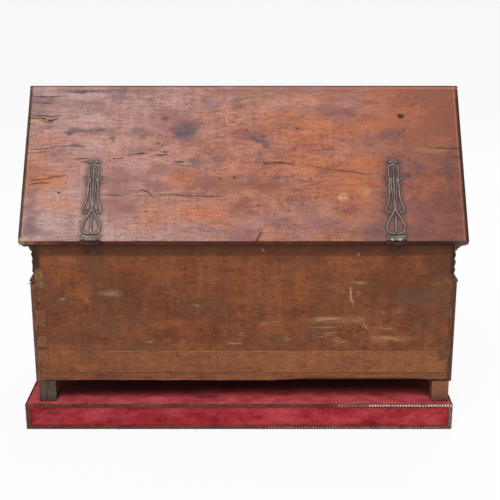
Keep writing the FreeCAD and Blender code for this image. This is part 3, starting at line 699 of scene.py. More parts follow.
LID_PITS = (
    (-172, 56, 1.8), (-135, 99, 1.2), (-43, 119, 1.5), (-17, 121, 1.6), (1, 266, 1.2), (-105, 268, 1.4),
    (-328, 92, 1.8), (-288, 36, 1.5), (-147, 217, 1.2), (-147, 185, 1.5), (-147, 199, 1.1), (97, 219, 1.8),
    (120, 119, 1.4), (27, 67, 1.6), (128, 82, 1.2), (195, 17, 1.3), (292, 215, 1.7), (283, 208, 1.2),
    (287, 244, 4.2), (283, 247, 2.2),
)
LID_STAINS = (
    (-310, 211, 12, 6, 0.9), (-288, 212, 24, 5, 0.65), (-266, 216, 10, 5, 0.65), (-303, 186, 12, 4, 0.6),
    (-236, 195, 7, 8, 0.65), (-102, 213, 22, 16, 0.9), (-96, 196, 20, 8, 0.5), (-144, 243, 10, 9, 0.7),
    (-187, 211, 20, 8, 0.45), (-186, 176, 24, 7, 0.5), (16, 199, 7, 3, 0.95), (30, 195, 12, 7, 0.9),
    (40, 188, 10, 8, 0.7), (28, 162, 5, 14, 0.4), (268, 205, 24, 16, 0.4), (291, 125, 8, 6, 0.85),
    (310, 142, 12, 8, 0.4), (59, 123, 9, 5, 0.6), (71, 36, 22, 8, 0.45), (325, 38, 10, 5, 0.5),
    (-272, 296, 60, 4, 0.8), (-200, 60, 16, 14, 0.4), (-60, 100, 10, 12, 0.3), (245, 20, 40, 18, 0.6),
    (290, 16, 30, 14, 0.55), (134, 40, 44, 28, 0.25), (-92, 150, 28, 7, 0.5), (-50, 150, 10, 12, 0.45),
    (-60, 262, 16, 14, 0.3), (150, 250, 30, 12, 0.1), (-230, 282, 14, 8, 0.4), (-376, 268, 20, 26, 0.45),
    (365, 120, 7, 40, 0.45), (232, 196, 14, 10, 0.25), (-12, 268, 12, 18, 0.35), (-376, 40, 12, 40, 0.35),
)
LID_PALES = (
    (176, 83, 9.0, 9.5, 0.7), (339, 176, 28, 6, 0.22), (-370, 234, 20, 5, 0.4), (-103, 149, 9, 3, 0.4),
    (-96, 285, 10, 5, 0.3), (-386, 3, 14, 4, 0.5), (150, 60, 16, 12, 0.2), (214, 96, 12, 9, 0.3),
)
LID_OCHRES = (
    (-378, 128, 26, 44, 0.5), (-350, 116, 34, 20, 0.65), (-330, 70, 30, 14, 0.4), (-352, 196, 30, 10, 0.4),
    (-112, 120, 26, 18, 0.7), (-172, 54, 44, 22, 0.45), (-68, 54, 46, 26, 0.4), (-50, 106, 40, 14, 0.3),
    (192, 104, 36, 34, 0.75), (212, 146, 36, 22, 0.6), (255, 224, 52, 20, 0.6), (306, 190, 22, 12, 0.4),
    (120, 222, 46, 22, 0.5), (8, 90, 60, 16, 0.35), (330, 112, 34, 12, 0.4), (60, 240, 40, 16, 0.35),
    (120, 150, 60, 20, 0.35), (-20, 250, 30, 18, 0.3),
)
RING_MARK = (-19, 239, 12.5)


def strap_bars():
    """The forged bars of one strap: half width across, up the slope, with width and height of the bar."""
    half = (
        (3.7, 2.9, [(0.4, 61), (3, 54), (8, 45), (13.2, 35), (15.6, 26), (14.4, 18.5), (9.5, 14.4),
                    (0, 13)]),
        (3.3, 2.7, [(6.6, 118), (8.2, 110), (8.6, 97), (9.2, 84), (11.6, 73), (14.6, 64), (15.6, 57.5),
                    (13.6, 53), (10.4, 52.6), (9.0, 55.4), (10.6, 57.8)]),
        (2.5, 2.3, [(4.7, 120), (4.9, 108), (4.1, 92), (2.6, 76), (1.2, 63)]),
        (2.1, 2.3, [(4.3, 117), (4.5, 127), (4.3, 136), (2.8, 140.6), (0.6, 141.6)]),
        (3.2, 2.6, [(4.6, 116.5), (8.6, 115.6), (12, 118), (14.2, 122.5)]),
        (2.3, 2.2, [(8.4, 104.5), (11.2, 107), (12.8, 110.5)]),
        (3.4, 2.7, [(5.6, 112), (7.4, 118), (8.5, 124), (8.7, 131), (8.4, 139), (6.8, 143.6), (3.6, 145.4),
                    (0, 145.8)]),
    )
    middle = (
        (3.1, 2.8, [(0, 55), (0, 90), (0, 122)]),
        (3.6, 2.7, [(0, 13), (0, 30), (0, 47)]),
        (2.8, 2.6, [(0, 117), (0, 131), (0, 145)]),
        (6.4, 2.6, [(0, 144), (0, 147.5), (0, 151)]),
        (4.6, 3.0, [(-9.2, 150.4), (-4, 151.4), (0, 151.8), (4, 151.4), (9.2, 150.4)]),
        (3.4, 2.6, [(-5.5, 153.6), (0, 155.4), (5.5, 153.6)]),
        (3.8, 3.2, [(-17.0, 10.2), (-12, 8.6), (-6, 7.9), (0, 7.7), (6, 7.9), (12, 8.6), (17.0, 10.2)]),
        (3.2, 2.9, [(-14.0, 4.6), (-7, 2.9), (0, 2.4), (7, 2.9), (14.0, 4.6)]),
    )
    bars = [(1.1 * width, height, places) for width, height, places in middle]
    for width, height, places in half:
        width *= 1.15
        bars.append((width, height, places))
        bars.append((width, height, [(-across, up) for across, up in places]))
    return bars


def lid_relief(x, u):
    """Depth of the lid's cracks and pits, and its dark marks with painted shade about the straps, and its
    stained and pale marks, at every point.
    """
    waver = 1.2 * (clouds(0.6 * x, u, 9.0, 11) - 0.5)
    broken = ramp(clouds(0.6 * x, u, 8.0, 17), 0.3, 0.52)
    cracks = [(width, stroke(x, u + waver, places, width, 1.4) * broken) for width, places in LID_CRACKS]
    hole, hole_depth = pits(x, u, LID_PITS, 23)
    chip = stroke(x, u, EAVE_CHIP, 0.8, 1.6)
    depth = strongest(*[0.3 * width * crack for width, crack in cracks], 1.2 * chip, 0.9 * hole_depth)
    strap_grime_and_shade, strap_stain = strap_stains_and_shade(x, u)
    dark = strongest(*[0.3 * crack for _, crack in cracks], 0.85 * hole, strap_grime_and_shade)
    bent_x = x + 22.0 * (clouds(0.7 * x, u, 17.0, 27) - 0.5)
    bent_u = u + 16.0 * (clouds(0.5 * x, u, 14.0, 37) - 0.5)
    streaked = 0.75 + 0.5 * ramp(clouds(0.25 * x, u, 5.0, 39), 0.3, 0.65)
    spilt = streaked * patches(bent_x, bent_u, LID_STAINS, 31, 0.75, 1.0, 0.45)
    ring_x, ring_u, ring_radius = RING_MARK
    from_ring = np.hypot(x - ring_x, u - ring_u) - ring_radius + 1.4 * (clouds(x, u, 9.0, 87) - 0.5)
    kept = ramp(clouds(x, u, 9.0, 83), 0.3, 0.62)
    ring_pale = 0.7 * (1 - ramp(np.abs(from_ring), 0.4, 2.4)) * (0.3 + 0.7 * kept)
    ring_stain = 0.5 * (1 - ramp(np.abs(from_ring + 3.2), 0.5, 2.6)) * kept
    stain = strongest(strap_stain, spilt, ring_stain)
    pale = strongest(patches(x, u, LID_PALES, 71, 0.3), ring_pale)
    return depth, dark, stain, pale


def strap_stains_and_shade(x, u):
    """Grime and painted shade under and among the bars of both straps, and the stains that they have left on
    the lid.
    """
    dark = []
    stain = []
    for side in (-1, 1):
        for width, _, places in strap_bars():
            line = [(side * HINGE_X + across, up) for across, up in places]
            # Grime and painted shade along each bar's edges
            dark.append(0.62 * stroke(x, u, line, width + 0.6, 1.6))
            stain.append((0.42 + 0.1 * side) * stroke(x, u, line, width + 5.0, 7.0))
        half = np.interp(u, (60, 75, 90, 112, 145), (3.0, 6.5, 8.0, 8.5, 8.0))
        # The wood between the shaft's bars painted dark: grime and painted shade
        dark.append(0.6 * ((np.abs(x - side * HINGE_X) < half) & (u > 60) & (u < 146)))
        # A darker blot near the top of each strap's lower loop: stain and painted shade
        stain.append(0.8 * blot(x, u, side * HINGE_X, 57, 12, 7, 29, 0.5))
    return strongest(*dark), strongest(*stain)


def lid_tones(x, u):
    """A painted grey sheen, warm wood, and wood darker to the right, in clouds and by the ridge."""
    wide = clouds(0.5 * x, u, 70.0, 101)
    small = clouds(0.4 * x, u, 18.0, 107)
    left = 1 - ramp(x, -360, 20)
    low = 1 - ramp(u, 0, 120)
    top = ramp(u, 200, 300) * (1 - ramp(x, 120, 300))
    # A painted grey sheen, strongest on the left, near the eave and near the top
    painted_sheen = 0.2 + 0.58 * left + 0.25 * low * (1 - ramp(x, -60, 260)) + 0.42 * top
    painted_sheen = np.clip(painted_sheen * (0.3 + 1.1 * wide) + 0.55 * (small - 0.5), 0, 0.85)
    warm = ramp(x, -140, 200) * ramp(wide, 0.35, 0.7) * 0.35 + 0.3 * ramp(small, 0.5, 0.7)
    warm = np.maximum(warm, patches(x, u, LID_OCHRES, 91, 0.8, 1.0))
    corner = ramp(x, 130, 395) * (0.75 + 0.25 * (1 - ramp(u, 60, 220)))
    # Darker towards the right end
    darker_to_right = 0.72 * corner * (0.45 + 0.55 * ramp(small, 0.2, 0.6))
    cloudy = 0.4 * ramp(clouds(0.45 * x, u, 34.0, 113), 0.55, 0.8)
    by_ridge = 0.45 * (1 - ramp(SLOPE_LENGTH - u, 10, 34)) * ramp(small, 0.3, 0.6)
    return painted_sheen, warm, strongest(darker_to_right, cloudy, by_ridge)


def lid_rims(x, u):
    """Painted shade on the end and ridge mouldings and on the eave's face towards the right, a painted
    highlight beside the end mouldings and under the ridge, and the bare wood at the left end of the eave.
    """
    from_end = LID_HALF - np.abs(x)
    from_ridge = SLOPE_LENGTH - u
    uneven = 2.0 * (clouds(x, u, 16.0, 151) - 0.5)
    # Painted shade on the end mouldings and along the ridge
    dark = 0.85 * (1 - ramp(from_end + uneven, 4.8, 7.0))
    dark = np.maximum(dark, 0.9 * (1 - ramp(from_ridge, 4.2, 5.4)))
    # Painted shade on the eave's face, deeper towards the right
    dark = np.where(u < 0.1, 0.75 * ramp(x + 8 * uneven, 100, 330), dark)
    # A painted highlight beside the end mouldings and under the ridge
    beside = 1 - ramp(np.abs(from_end + 0.5 * uneven - 8.2), 0.8, 1.8)
    highlight_under_ridge = 1 - ramp(np.abs(from_ridge - 8.0), 1.2, 2.6)
    highlight_under_ridge = highlight_under_ridge * ramp(clouds(0.3 * x, u, 30.0, 157), 0.2, 0.5)
    light = np.maximum(np.where(x < 0, 0.18, 0.3) * beside, 0.5 * highlight_under_ridge)
    bare = (1 - ramp(x, -372, -318)) * ramp(clouds(x, u, 10.0, 163), 0.25, 0.5) * (1 - ramp(u, 0.2, 1.6))
    return dark, light, bare


def edge_profile(inside):
    """Depth of the thumbnail moulding at a distance in from the edge."""
    share = np.clip((EDGE_WIDTH - inside) / EDGE_WIDTH, 0, 1)
    roll = (EDGE_DROP - EDGE_STEP) * (1 - np.sqrt(np.maximum(0, 1 - share ** 2)))
    return np.where(inside < EDGE_WIDTH - 0.01, EDGE_STEP + roll, 0.0)


def lid_height(x, u, depth):
    """How far the worn face of the lid stands out of its plane."""
    inside = np.minimum(LID_HALF - np.abs(x), SLOPE_LENGTH - u)
    uneven = 0.5 * (clouds(0.3 * x, u, 60.0, 131) - 0.5) + 0.16 * (clouds(0.2 * x, u, 7.0, 137) - 0.5)
    worn_eave = 0.7 * (1 - ramp(u, 0, 2.4)) * clouds(x, u, 22.0, 139)
    return uneven - edge_profile(inside) - depth - worn_eave


def lid_mark_place(x, u, lift):
    """A place just proud of the lid's worn face."""
    depth = lid_relief(x, u)[0]
    return slope_place(x, u, lid_height(x, u, 0.7 * depth) + lift)


def lid_rear_board(material):
    fine = (0.0, 0.25, 0.7, 1.5, 2.6, 4.0, 5.4, 6.85, 7.0, 8.5)
    columns = edge_lines(-LID_HALF, LID_HALF, 2.2, fine)
    ridge = [RIDGE_SPAN - d for d in (0.0, 0.8, 1.8, 3.0, 4.45, 4.6, 6.0)]
    rows = np.unique(np.concatenate([np.arange(0.0, RIDGE_SPAN - 6.5, 1.4), ridge]))
    x, u = np.meshgrid(columns, rows)
    depth, dark, stain, pale = lid_relief(x, u)
    outer = slope_place(x, u, lid_height(x, u, depth))
    outer[..., 1] = np.minimum(outer[..., 1], 0.0)
    under = (-LID_EAVE_Y - LID_THICKNESS * RISE) / RUN
    inner = slope_place(x, u * under / RIDGE_SPAN, -LID_THICKNESS)
    points, faces, used = slab(outer, inner)
    piece = new_piece("lid_rear_board", points, faces, material, "lid", ["lid_rear_slope"], 28.0)
    add_layer(piece, "marks", *[on_face(v, used) for v in (dark, stain, pale)])
    add_layer(piece, "tone", *[on_face(v, used) for v in lid_tones(x, u)])
    # Painted shade and highlights of the mouldings, and bare wood at the eave
    rim_painted_shade, rim_painted_highlight, bare = lid_rims(x, u)
    spread = [on_face(rim_painted_shade, used, True), on_face(rim_painted_highlight, used), on_face(bare, used, True)]
    add_layer(piece, "rims", *spread)


# Marks on the back of the chest, as places along the chest and heights

BACK_SCRATCHES = (
    (0.8, [(-252, 260), (-238, 262), (-224, 267)]), (0.6, [(-248, 257), (-228, 261)]),
    (0.5, [(-122, 246), (-114, 244)]), (0.8, [(-90, 240), (-79, 237)]), (0.4, [(-284, 249), (-276, 247)]),
    (0.6, [(194, 282), (221, 282)]), (0.6, [(116, 209), (140, 214), (191, 213)]),
    (0.6, [(121, 206), (188, 217)]), (0.7, [(204, 207), (229, 196)]), (0.6, [(234, 198), (274, 194)]),
    (0.6, [(125, 181), (150, 186), (178, 186)]), (0.6, [(144, 178), (170, 172), (197, 165)]),
    (0.8, [(230, 179), (260, 177), (290, 172)]), (0.5, [(161, 163), (188, 170)]),
    (0.4, [(25, 206), (47, 207)]), (0.4, [(49, 204), (67, 205)]), (0.4, [(67, 171), (94, 177)]),
    (0.4, [(72, 176), (90, 171)]), (0.6, [(152, 184), (190, 169)]), (0.4, [(232, 226), (266, 225)]),
    (0.5, [(-34, 166), (-4, 165)]), (0.4, [(-208, 148), (-207, 140)]), (0.4, [(-330, 250), (-318, 251)]),
    (0.35, [(-180, 168), (-160, 169)]), (0.35, [(20, 168), (58, 167)]), (0.6, [(31, 344), (37, 343)]),
    (0.7, [(201, 334), (205, 334)]), (0.5, [(178, 284), (218, 283)]), (0.35, [(171, 264), (184, 263)]),
    (0.35, [(197, 264), (211, 263)]), (0.4, [(262, 230), (294, 228)]), (0.3, [(258, 226), (285, 225)]),
    (0.4, [(20, 207), (64, 209)]), (0.4, [(64, 180), (92, 184)]), (0.35, [(60, 174), (88, 178)]),
    (0.5, [(146, 170), (186, 172)]), (0.4, [(150, 165), (180, 168)]), (0.45, [(168, 208), (220, 206)]),
    (0.35, [(-18, 187), (6, 187)]), (0.3, [(-20, 180), (8, 181)]),
    (0.3, [(330, 278), (352, 281), (371, 286)]), (0.4, [(118, 196), (176, 199)]),
    (0.4, [(205, 186), (222, 189)]),
)
BACK_PITS = (
    (63, 157, 1.6), (35, 261, 1.2), (-367, 242, 2.4), (-155, 272, 1.5), (-60, 214, 1.3), (300, 300, 1.4),
)
BACK_GREYS = (
    (-340, 247, 26, 8, 0.55), (-240, 198, 26, 13, 0.45), (-283, 150, 20, 5, 0.8), (-300, 168, 40, 6, 0.3),
    (310, 255, 40, 16, 0.5), (340, 262, 24, 12, 0.45), (-215, 245, 20, 10, 0.3), (-212, 160, 18, 10, 0.3),
    (-60, 235, 40, 16, 0.3), (-265, 285, 4, 52, 0.5), (203, 228, 4, 24, 0.3), (60, 172, 40, 10, 0.3),
    (-200, 215, 60, 10, 0.3), (330, 200, 24, 30, 0.3),
)
BACK_ORANGES = (
    (-139, 204, 24, 8, 0.8), (-118, 190, 14, 10, 0.5), (241, 165, 22, 9, 0.6), (-165, 306, 60, 16, 0.35),
    (-105, 163, 18, 8, 0.4), (60, 240, 20, 56, 0.5), (102, 269, 12, 44, 0.45), (215, 328, 16, 6, 0.5),
    (-20, 262, 14, 46, 0.45), (20, 290, 12, 56, 0.45), (-240, 300, 34, 24, 0.3), (312, 246, 10, 8, 0.35),
    (-60, 290, 30, 40, 0.35), (-320, 300, 30, 30, 0.35), (180, 320, 60, 16, 0.3),
)
BACK_PALES = (
    (-366, 292, 8, 12, 0.3), (-236, 262, 18, 6, 0.2), (170, 212, 60, 6, 0.12), (262, 176, 40, 6, 0.15),
)
BACK_SHADES = (
    (-210, 274, 58, 46, 0.34), (-43, 258, 28, 34, 0.2), (267, 280, 56, 40, 0.36), (-136, 184, 22, 9, 0.35),
    (348, 318, 30, 26, 0.5), (330, 240, 30, 20, 0.25), (-300, 172, 60, 8, 0.3), (-350, 210, 14, 30, 0.25),
    (60, 330, 60, 12, 0.25), (-120, 232, 30, 16, 0.15),
)
BACK_DRIP = ((190, 272), (192, 263), (191, 256), (195, 246), (196, 238), (200, 229))


def frayed(places, rng, count=6, stray=2.2):
    """A scratch as a few short strokes that wander about one line."""
    p = np.asarray(places, float)
    for _ in range(count):
        turns = (len(p) - 1) * np.linspace(rng.uniform(0, 0.5), rng.uniform(0.65, 1.0), 4)
        line = np.stack([np.interp(turns, np.arange(len(p)), p[:, axis]) for axis in (0, 1)], axis=1)
        line[:, 1] += rng.normal(0, stray) + rng.normal(0, 0.4 * stray) * np.linspace(-1, 1, 4)
        yield line


def splintered(marks, rng):
    """Each crack with two shorter and thinner ones beside it."""
    for width, places in marks:
        yield width, places
        for line in frayed(places, rng, 2, 1.0):
            yield 0.6 * width, line


def back_relief(x, z):
    """Depth of the back's dents, and its dark, grey, pale and orange marks, at every point."""
    waver = 1.6 * (clouds(x, z, 10.0, 211) - 0.5)
    feathered = ramp(clouds(0.5 * x, z, 6.0, 217), 0.3, 0.6)
    rubs = [(share, stroke(x, z + waver, places, 1.5, 3.5) * feathered) for share, places in BACK_SCRATCHES]
    hole, hole_depth = pits(x, z, BACK_PITS, 223)
    depth = strongest(*[0.25 * rub for _, rub in rubs], hole_depth)
    drip = 0.3 * stroke(x, z, BACK_DRIP, 1.4, 2.6) * ramp(z, 225, 262)
    pale = strongest(*[0.14 * share * rub for share, rub in rubs], patches(x, z, BACK_PALES, 291, 0.6), drip)
    grey = patches(x, z, BACK_GREYS, 231, 0.7)
    upright = ramp(clouds(x, 0.1 * z, 6.0, 281), 0.35, 0.65)
    level = ramp(clouds(0.1 * x, z, 6.0, 283), 0.45, 0.7)
    orange = 0.6 * patches(x, z, BACK_ORANGES, 261, 0.8) * strongest(upright, level)
    return depth, 0.9 * hole, grey, pale, orange


def torn_corner(rng):
    """Splinters where the left ledge has torn away from the end of the back."""
    torn = []
    ends = []
    for _ in range(100):
        z = rng.uniform(272, 292)
        leftmost = -371 if z > 276 else -378
        x = rng.uniform(leftmost, -360)
        lean = math.radians(rng.uniform(95, 130) if z > 284 else rng.uniform(-40, 30))
        length = rng.uniform(4, 12)
        tip = (max(x + length * math.cos(lean), leftmost), z + length * math.sin(lean))
        torn.append((rng.uniform(2.0, 4.2), [(x, z), tip]))
        if rng.random() < 0.35:
            ends.append((rng.uniform(0.7, 1.3), [(x, z), tip]))
    torn.append((2.2, [(-371, 287), (-377, 283), (-384, 279)]))
    return torn, ends


def torn_place(x, z, lift):
    """A place proud of the back's plane, as torn fibres stand."""
    return np.stack([x, BACK - 4.0 * lift, z], axis=-1)


def pin_edges(pins):
    edges = []
    for middle, height in pins:
        edges += [WALL_BASE + middle - height / 2, WALL_BASE + middle + height / 2]
    return edges


def pin_shift(z, pins):
    """How far the dovetails' flare moves a height at the outer end of a pin."""
    shifts = [PIN_TAPER, -PIN_TAPER] * len(pins)
    return np.interp(z, [WALL_BASE, *pin_edges(pins), WALL_TOP], [0.0, *shifts, 0.0])


def in_pin(z, pins):
    return np.any([np.abs(z - WALL_BASE - middle) < height / 2 for middle, height in pins], axis=0)


def back_inset(x, z, depth):
    """How deep the worn face of the back lies behind its plane."""
    return 0.5 * clouds(0.4 * x, z, 46.0, 301) + 0.2 * clouds(0.15 * x, z, 5.0, 307) + depth


def back_mark_place(x, z, lift):
    """A place just proud of the back's worn face."""
    depth = back_relief(x, z)[0]
    return np.stack([x, BACK + back_inset(x, z, 0.5 * depth) - lift, z], axis=-1)


def pin_lines(x, z):
    """High along the joint lines of the dovetails."""
    lines = []
    for side, pins in ((-1, LEFT_PINS), (1, RIGHT_PINS)):
        beyond = side * x - INNER_HALF
        lines += [(1 - ramp(np.abs(z - edge), 0.3, 1.5)) * (beyond > -1) for edge in pin_edges(pins)]
        lines.append((1 - ramp(np.abs(beyond), 0.3, 1.8)) * in_pin(z, pins))
        lines.append(1 - ramp(np.abs(beyond - BOARD), 0.3, 2.2))
    return strongest(*lines)


def back_plank(name, low, high, material):
    """A back plank with its dovetail tails, the wear of its outer face, painted shade under the eave and at
    its ends, and a painted highlight on the lower plank's top edge.
    """
    ends = [INNER_HALF, INNER_HALF + 4, INNER_HALF + 8, INNER_HALF + 12, CARCASS_HALF]
    middle = np.linspace(-INNER_HALF, INNER_HALF, 340)
    columns = np.unique(np.concatenate([middle, ends, [-e for e in ends]]))
    levels = [e for e in pin_edges(LEFT_PINS) + pin_edges(RIGHT_PINS) if low < e < high]
    rows = edge_lines(low, high, 1.3, (0.0, 0.3, 0.9))
    rows = rows[[all(abs(r - e) > 0.6 for e in levels) for r in rows]]
    rows = np.unique(np.concatenate([rows, levels]))
    x, z = np.meshgrid(columns, rows)
    middle_x = (x[:-1, :-1] + x[1:, 1:]) / 2
    middle_z = (z[:-1, :-1] + z[1:, 1:]) / 2
    kept = ~((middle_x < -INNER_HALF) & in_pin(middle_z, LEFT_PINS))
    kept &= ~((middle_x > INNER_HALF) & in_pin(middle_z, RIGHT_PINS))
    joints = pin_lines(x, z)
    share = np.clip((np.abs(x) - INNER_HALF) / BOARD, 0, 1)
    flare = np.where(x < 0, pin_shift(z, LEFT_PINS), pin_shift(z, RIGHT_PINS))
    z = np.clip(z + share * flare, low, high)
    depth, dark, grey, pale, orange = back_relief(x, z)
    dark = strongest(dark, 0.7 * joints, 0.75 * (1 - ramp(z - WALL_BASE, 0.2, 1.8)))
    rim = np.minimum(z - low, high - z)
    inset = back_inset(x, z, depth) + 0.5 * (1 - ramp(rim, 0, 0.9))
    outer = np.stack([x, BACK + inset, z], axis=-1)
    inner = np.stack([x, np.full(x.shape, INNER_BACK), z], axis=-1)
    points, faces, used = slab(outer, inner, kept)
    piece = new_piece(name + "_worn", points, faces, material, "chest", [name], 28.0)
    add_layer(piece, "marks", *[on_face(v, used) for v in (dark, grey, pale)])
    # A painted shadow under the eave of the lid
    painted_eave_shadow = 0.6 * ramp(z + 3.0 * clouds(0.2 * x, z, 8.0, 313), 330, 337)
    # Darker at both ends above the ledge: painted shade, and the dark of the mouldings' ends
    ends = np.where(x < 0, ramp(-x, 358, 363), ramp(x, 362, 366))
    ends = 0.95 * ends * ramp(z + 3.0 * clouds(x, z, 5.0, 317), 297, 302)
    dark_patches_and_shade = strongest(painted_eave_shadow, patches(x, z, BACK_SHADES, 321, 0.7, 1.0), ends)
    lower = (high == SEAM) * (0.24 + 0.34 * ramp(x, -80, 80))
    # A painted highlight along the lower plank's top edge at the seam
    painted_arris_highlight = 1 - ramp(np.abs(z - SEAM + 0.8), 0.7, 1.4)
    lower = np.maximum(lower, 0.8 * painted_arris_highlight * ramp(clouds(x, 0 * x, 40.0, 311), 0.25, 0.5))
    add_layer(piece, "tone", *[on_face(v, used) for v in (orange, lower, dark_patches_and_shade)])


def bottom_board(material):
    """The bottom board, whose rear lower edge is worn away in places."""
    low, high = corners("bottom_board")
    lines_x = edge_lines(low[0], high[0], 4.0, FINE_EDGE)
    lines_y = edge_lines(low[1], high[1], 30.0, FINE_EDGE + (5.0, 9.0))
    lines_z = edge_lines(low[2], high[2], 2.0, FINE_EDGE)
    flat, quads = block_surface(lines_x, lines_y, lines_z)
    points, _ = rounded(flat, low, high, 1.0)
    x, y, z = flat.T
    worn = 1.6 * clouds(x, 0 * x, 90.0, 401) + 1.2 * clouds(x, 0 * x, 9.0, 407)
    worn = worn + 4.6 * ramp(x, 40, 150) * (1 - ramp(x, 280, 350)) + 1.2 * ramp(x, 100, 360)
    worn = worn + 2.2 * ramp(x, 95, 120) * (1 - ramp(x, 170, 215)) * clouds(x, 0 * x, 14.0, 403)
    rear = 1 - ramp(y - low[1], 2, 10)
    lift = (1 - ramp(z - low[2], 0, 13)) * rear
    points[:, 2] += np.minimum(worn, 9.0) * lift
    points[:, 1] += rear * (0.5 * clouds(0.3 * x, z, 20.0, 409) + 0.4)
    faces = quads.tolist()
    new_piece("bottom_board_worn", points, faces, material, "chest", ["bottom_board"], 35.0)


def foot(name, material, seed):
    """A sawn block with bruised edges."""
    low, high = corners(name)
    flat, quads = block_surface(*[edge_lines(*ends, 2.5, FINE_EDGE) for ends in zip(low, high)])
    points, facing = rounded(flat, low, high, 1.3)
    x, y, z = flat.T
    dent = 0.9 * clouds(x, y, 12.0, seed, z) + 0.5 * clouds(x, y, 3.5, seed + 9, 0.25 * z)
    dent = dent * ramp(z - low[2], 0, 3) * (1 - ramp(z, high[2] - 3, high[2]))
    points -= facing * dent[:, None]
    new_piece(name + "_worn", points, quads.tolist(), material, "chest", [name], 45.0)


# Mouldings

def worn_moulding(name, material, seed, chips, broken=0.0):
    """The moulding's solid with fine faces and chipped arrises; broken is how deep its rear end is torn."""
    rough = bpy.data.objects.new(name + "_rough", nodes[name].data.copy())
    bpy.context.scene.collection.objects.link(rough)
    fine = rough.modifiers.new("fine", "REMESH")
    fine.mode = "VOXEL"
    fine.voxel_size = 1.3 * MM
    mesh = bpy.data.meshes.new_from_object(rough.evaluated_get(bpy.context.evaluated_depsgraph_get()))
    bpy.data.objects.remove(rough)
    count = len(mesh.vertices)
    points = np.empty(3 * count)
    facing = np.empty(3 * count)
    mesh.vertices.foreach_get("co", points)
    mesh.vertices.foreach_get("normal", facing)
    points = points.reshape(-1, 3) / MM
    facing = facing.reshape(-1, 3)
    faces = [list(polygon.vertices) for polygon in mesh.polygons]
    x, y, z = points.T
    depth = chips * ramp(clouds(x, y, 16.0, seed, z), 0.58, 0.8)
    depth = depth + 0.5 * (clouds(x, y, 5.0, seed + 3, z) - 0.4)
    torn = 1 - ramp(y - BACK, 4.0, 42.0)
    depth = depth + broken * torn * ramp(clouds(x, 0.6 * y, 7.0, seed + 5, z), 0.35, 0.7)
    points -= facing * depth[:, None]
    new_piece(name + "_worn", points, faces, material, "chest", [name], 50.0)


# Marks of use on the front

def key_scratches(rng):
    """Short strokes on the facing below the keyhole, where hanging keys have swung."""
    top = corners("facing_front")[1][2]
    for _ in range(60):
        x = rng.normal(0, 16)
        z = top - rng.uniform(6, 40)
        lean = rng.normal(0, 2.5)
        yield rng.uniform(0.3, 0.8), [(x, z), (x + 0.5 * lean, z - 3), (x + lean, z - rng.uniform(4, 9))]


def handling_scratches(name, rng, count):
    """Scattered scratches over the front of one piece, most of them near level."""
    low, high = corners(name)
    for _ in range(count):
        x = rng.uniform(low[0] + 30, high[0] - 30)
        z = rng.uniform(low[2] + 12, high[2] - 12)
        run = rng.uniform(4, 36)
        rise = rng.normal(0, 0.12) * run
        yield rng.uniform(0.25, 0.7), [(x, z), (x + 0.5 * run, z + rise), (x + run, z + 0.8 * rise)]


def coin_scratches(rng):
    """Strokes about the coin slot, along the chest and up the front slope, where coins have missed it."""
    low, high = corners("coin_slot_plate")
    x, z = 0.5 * (low + high)[[0, 2]]
    half = 0.5 * (high - low)[0]
    u = (z - LID_EAVE_Z) / RISE
    for _ in range(50):
        aside = rng.normal(0, 0.9 * half)
        start = np.array([x + aside, u + rng.choice((-1, 1)) * rng.uniform(0.5, 1.3) * half])
        reach = rng.normal(0, 1, 2) * (7.0, 4.0)
        yield rng.uniform(0.3, 0.7), [start, start + 0.5 * reach + rng.normal(0, 0.5, 2), start + reach]


def front_place(x, z, lift):
    """A place just proud of the front, seen from before it."""
    return np.stack([-x, corners("facing_front")[1][1] + lift, z], axis=-1)


def front_slope_place(x, u, lift):
    """A place just proud of the lid's front slope, seen from before it."""
    return slope_place(x, u, lift) * (-1, -1, 1)


# Strap hinges

def forged_bar(places, width, height, base):
    """A half-round bar along a smooth line in the plane of the lid, thinning at both ends."""
    line = smooth_line(places, 36)
    run = np.concatenate([[0], np.cumsum(np.linalg.norm(np.diff(line, axis=0), axis=1))])
    tangent = np.gradient(line, axis=0)
    tangent /= np.linalg.norm(tangent, axis=1, keepdims=True)
    aside = np.stack([-tangent[:, 1], tangent[:, 0]], axis=1)
    near_end = np.minimum(run, run[-1] - run) / (0.6 * width)
    taper = np.sqrt(np.clip(1 - (1 - np.clip(near_end, 0, 1)) ** 2, 0.04, 1))
    turn = np.linspace(0, math.pi, 9)
    across = 0.5 * width * np.cos(turn)
    up = base + height * np.sin(turn) ** 0.8
    flat = line[:, None, :] + aside[:, None, :] * (across * taper[:, None])[..., None]
    out = np.broadcast_to(base + (up - base) * taper[:, None], flat.shape[:2])
    rings, ring = flat.shape[:2]
    return np.concatenate([flat, out[..., None]], axis=2).reshape(-1, 3), ring_faces(rings, ring)


def knuckle(x0, x1):
    """A rolled knuckle with rounded rims, its seam turned to the lid."""
    sides = 24
    steps = ((x0, 0.86), (x0 + 0.5, 1.0), (x1 - 0.5, 1.0), (x1, 0.86))
    turn = np.arange(sides) * 2 * math.pi / sides
    points = []
    for x, share in steps:
        radius = KNUCKLE * share
        ring = [np.full(sides, x), HINGE_U + radius * np.cos(turn), HINGE_N + radius * np.sin(turn)]
        points.append(np.stack(ring, 1))
    return np.concatenate(points), ring_faces(len(steps), sides)


def base_plate(x0, x1, u0, u1, n0, n1):
    ends = ((x0, x1), (u0, u1), (n0, n1))
    flat, quads = block_surface(*[edge_lines(low, high, 3.0, (0.0, 0.4)) for low, high in ends])
    points, _ = rounded(flat, (x0, u0, n0), (x1, u1, n1), 0.5)
    return points, quads.tolist()


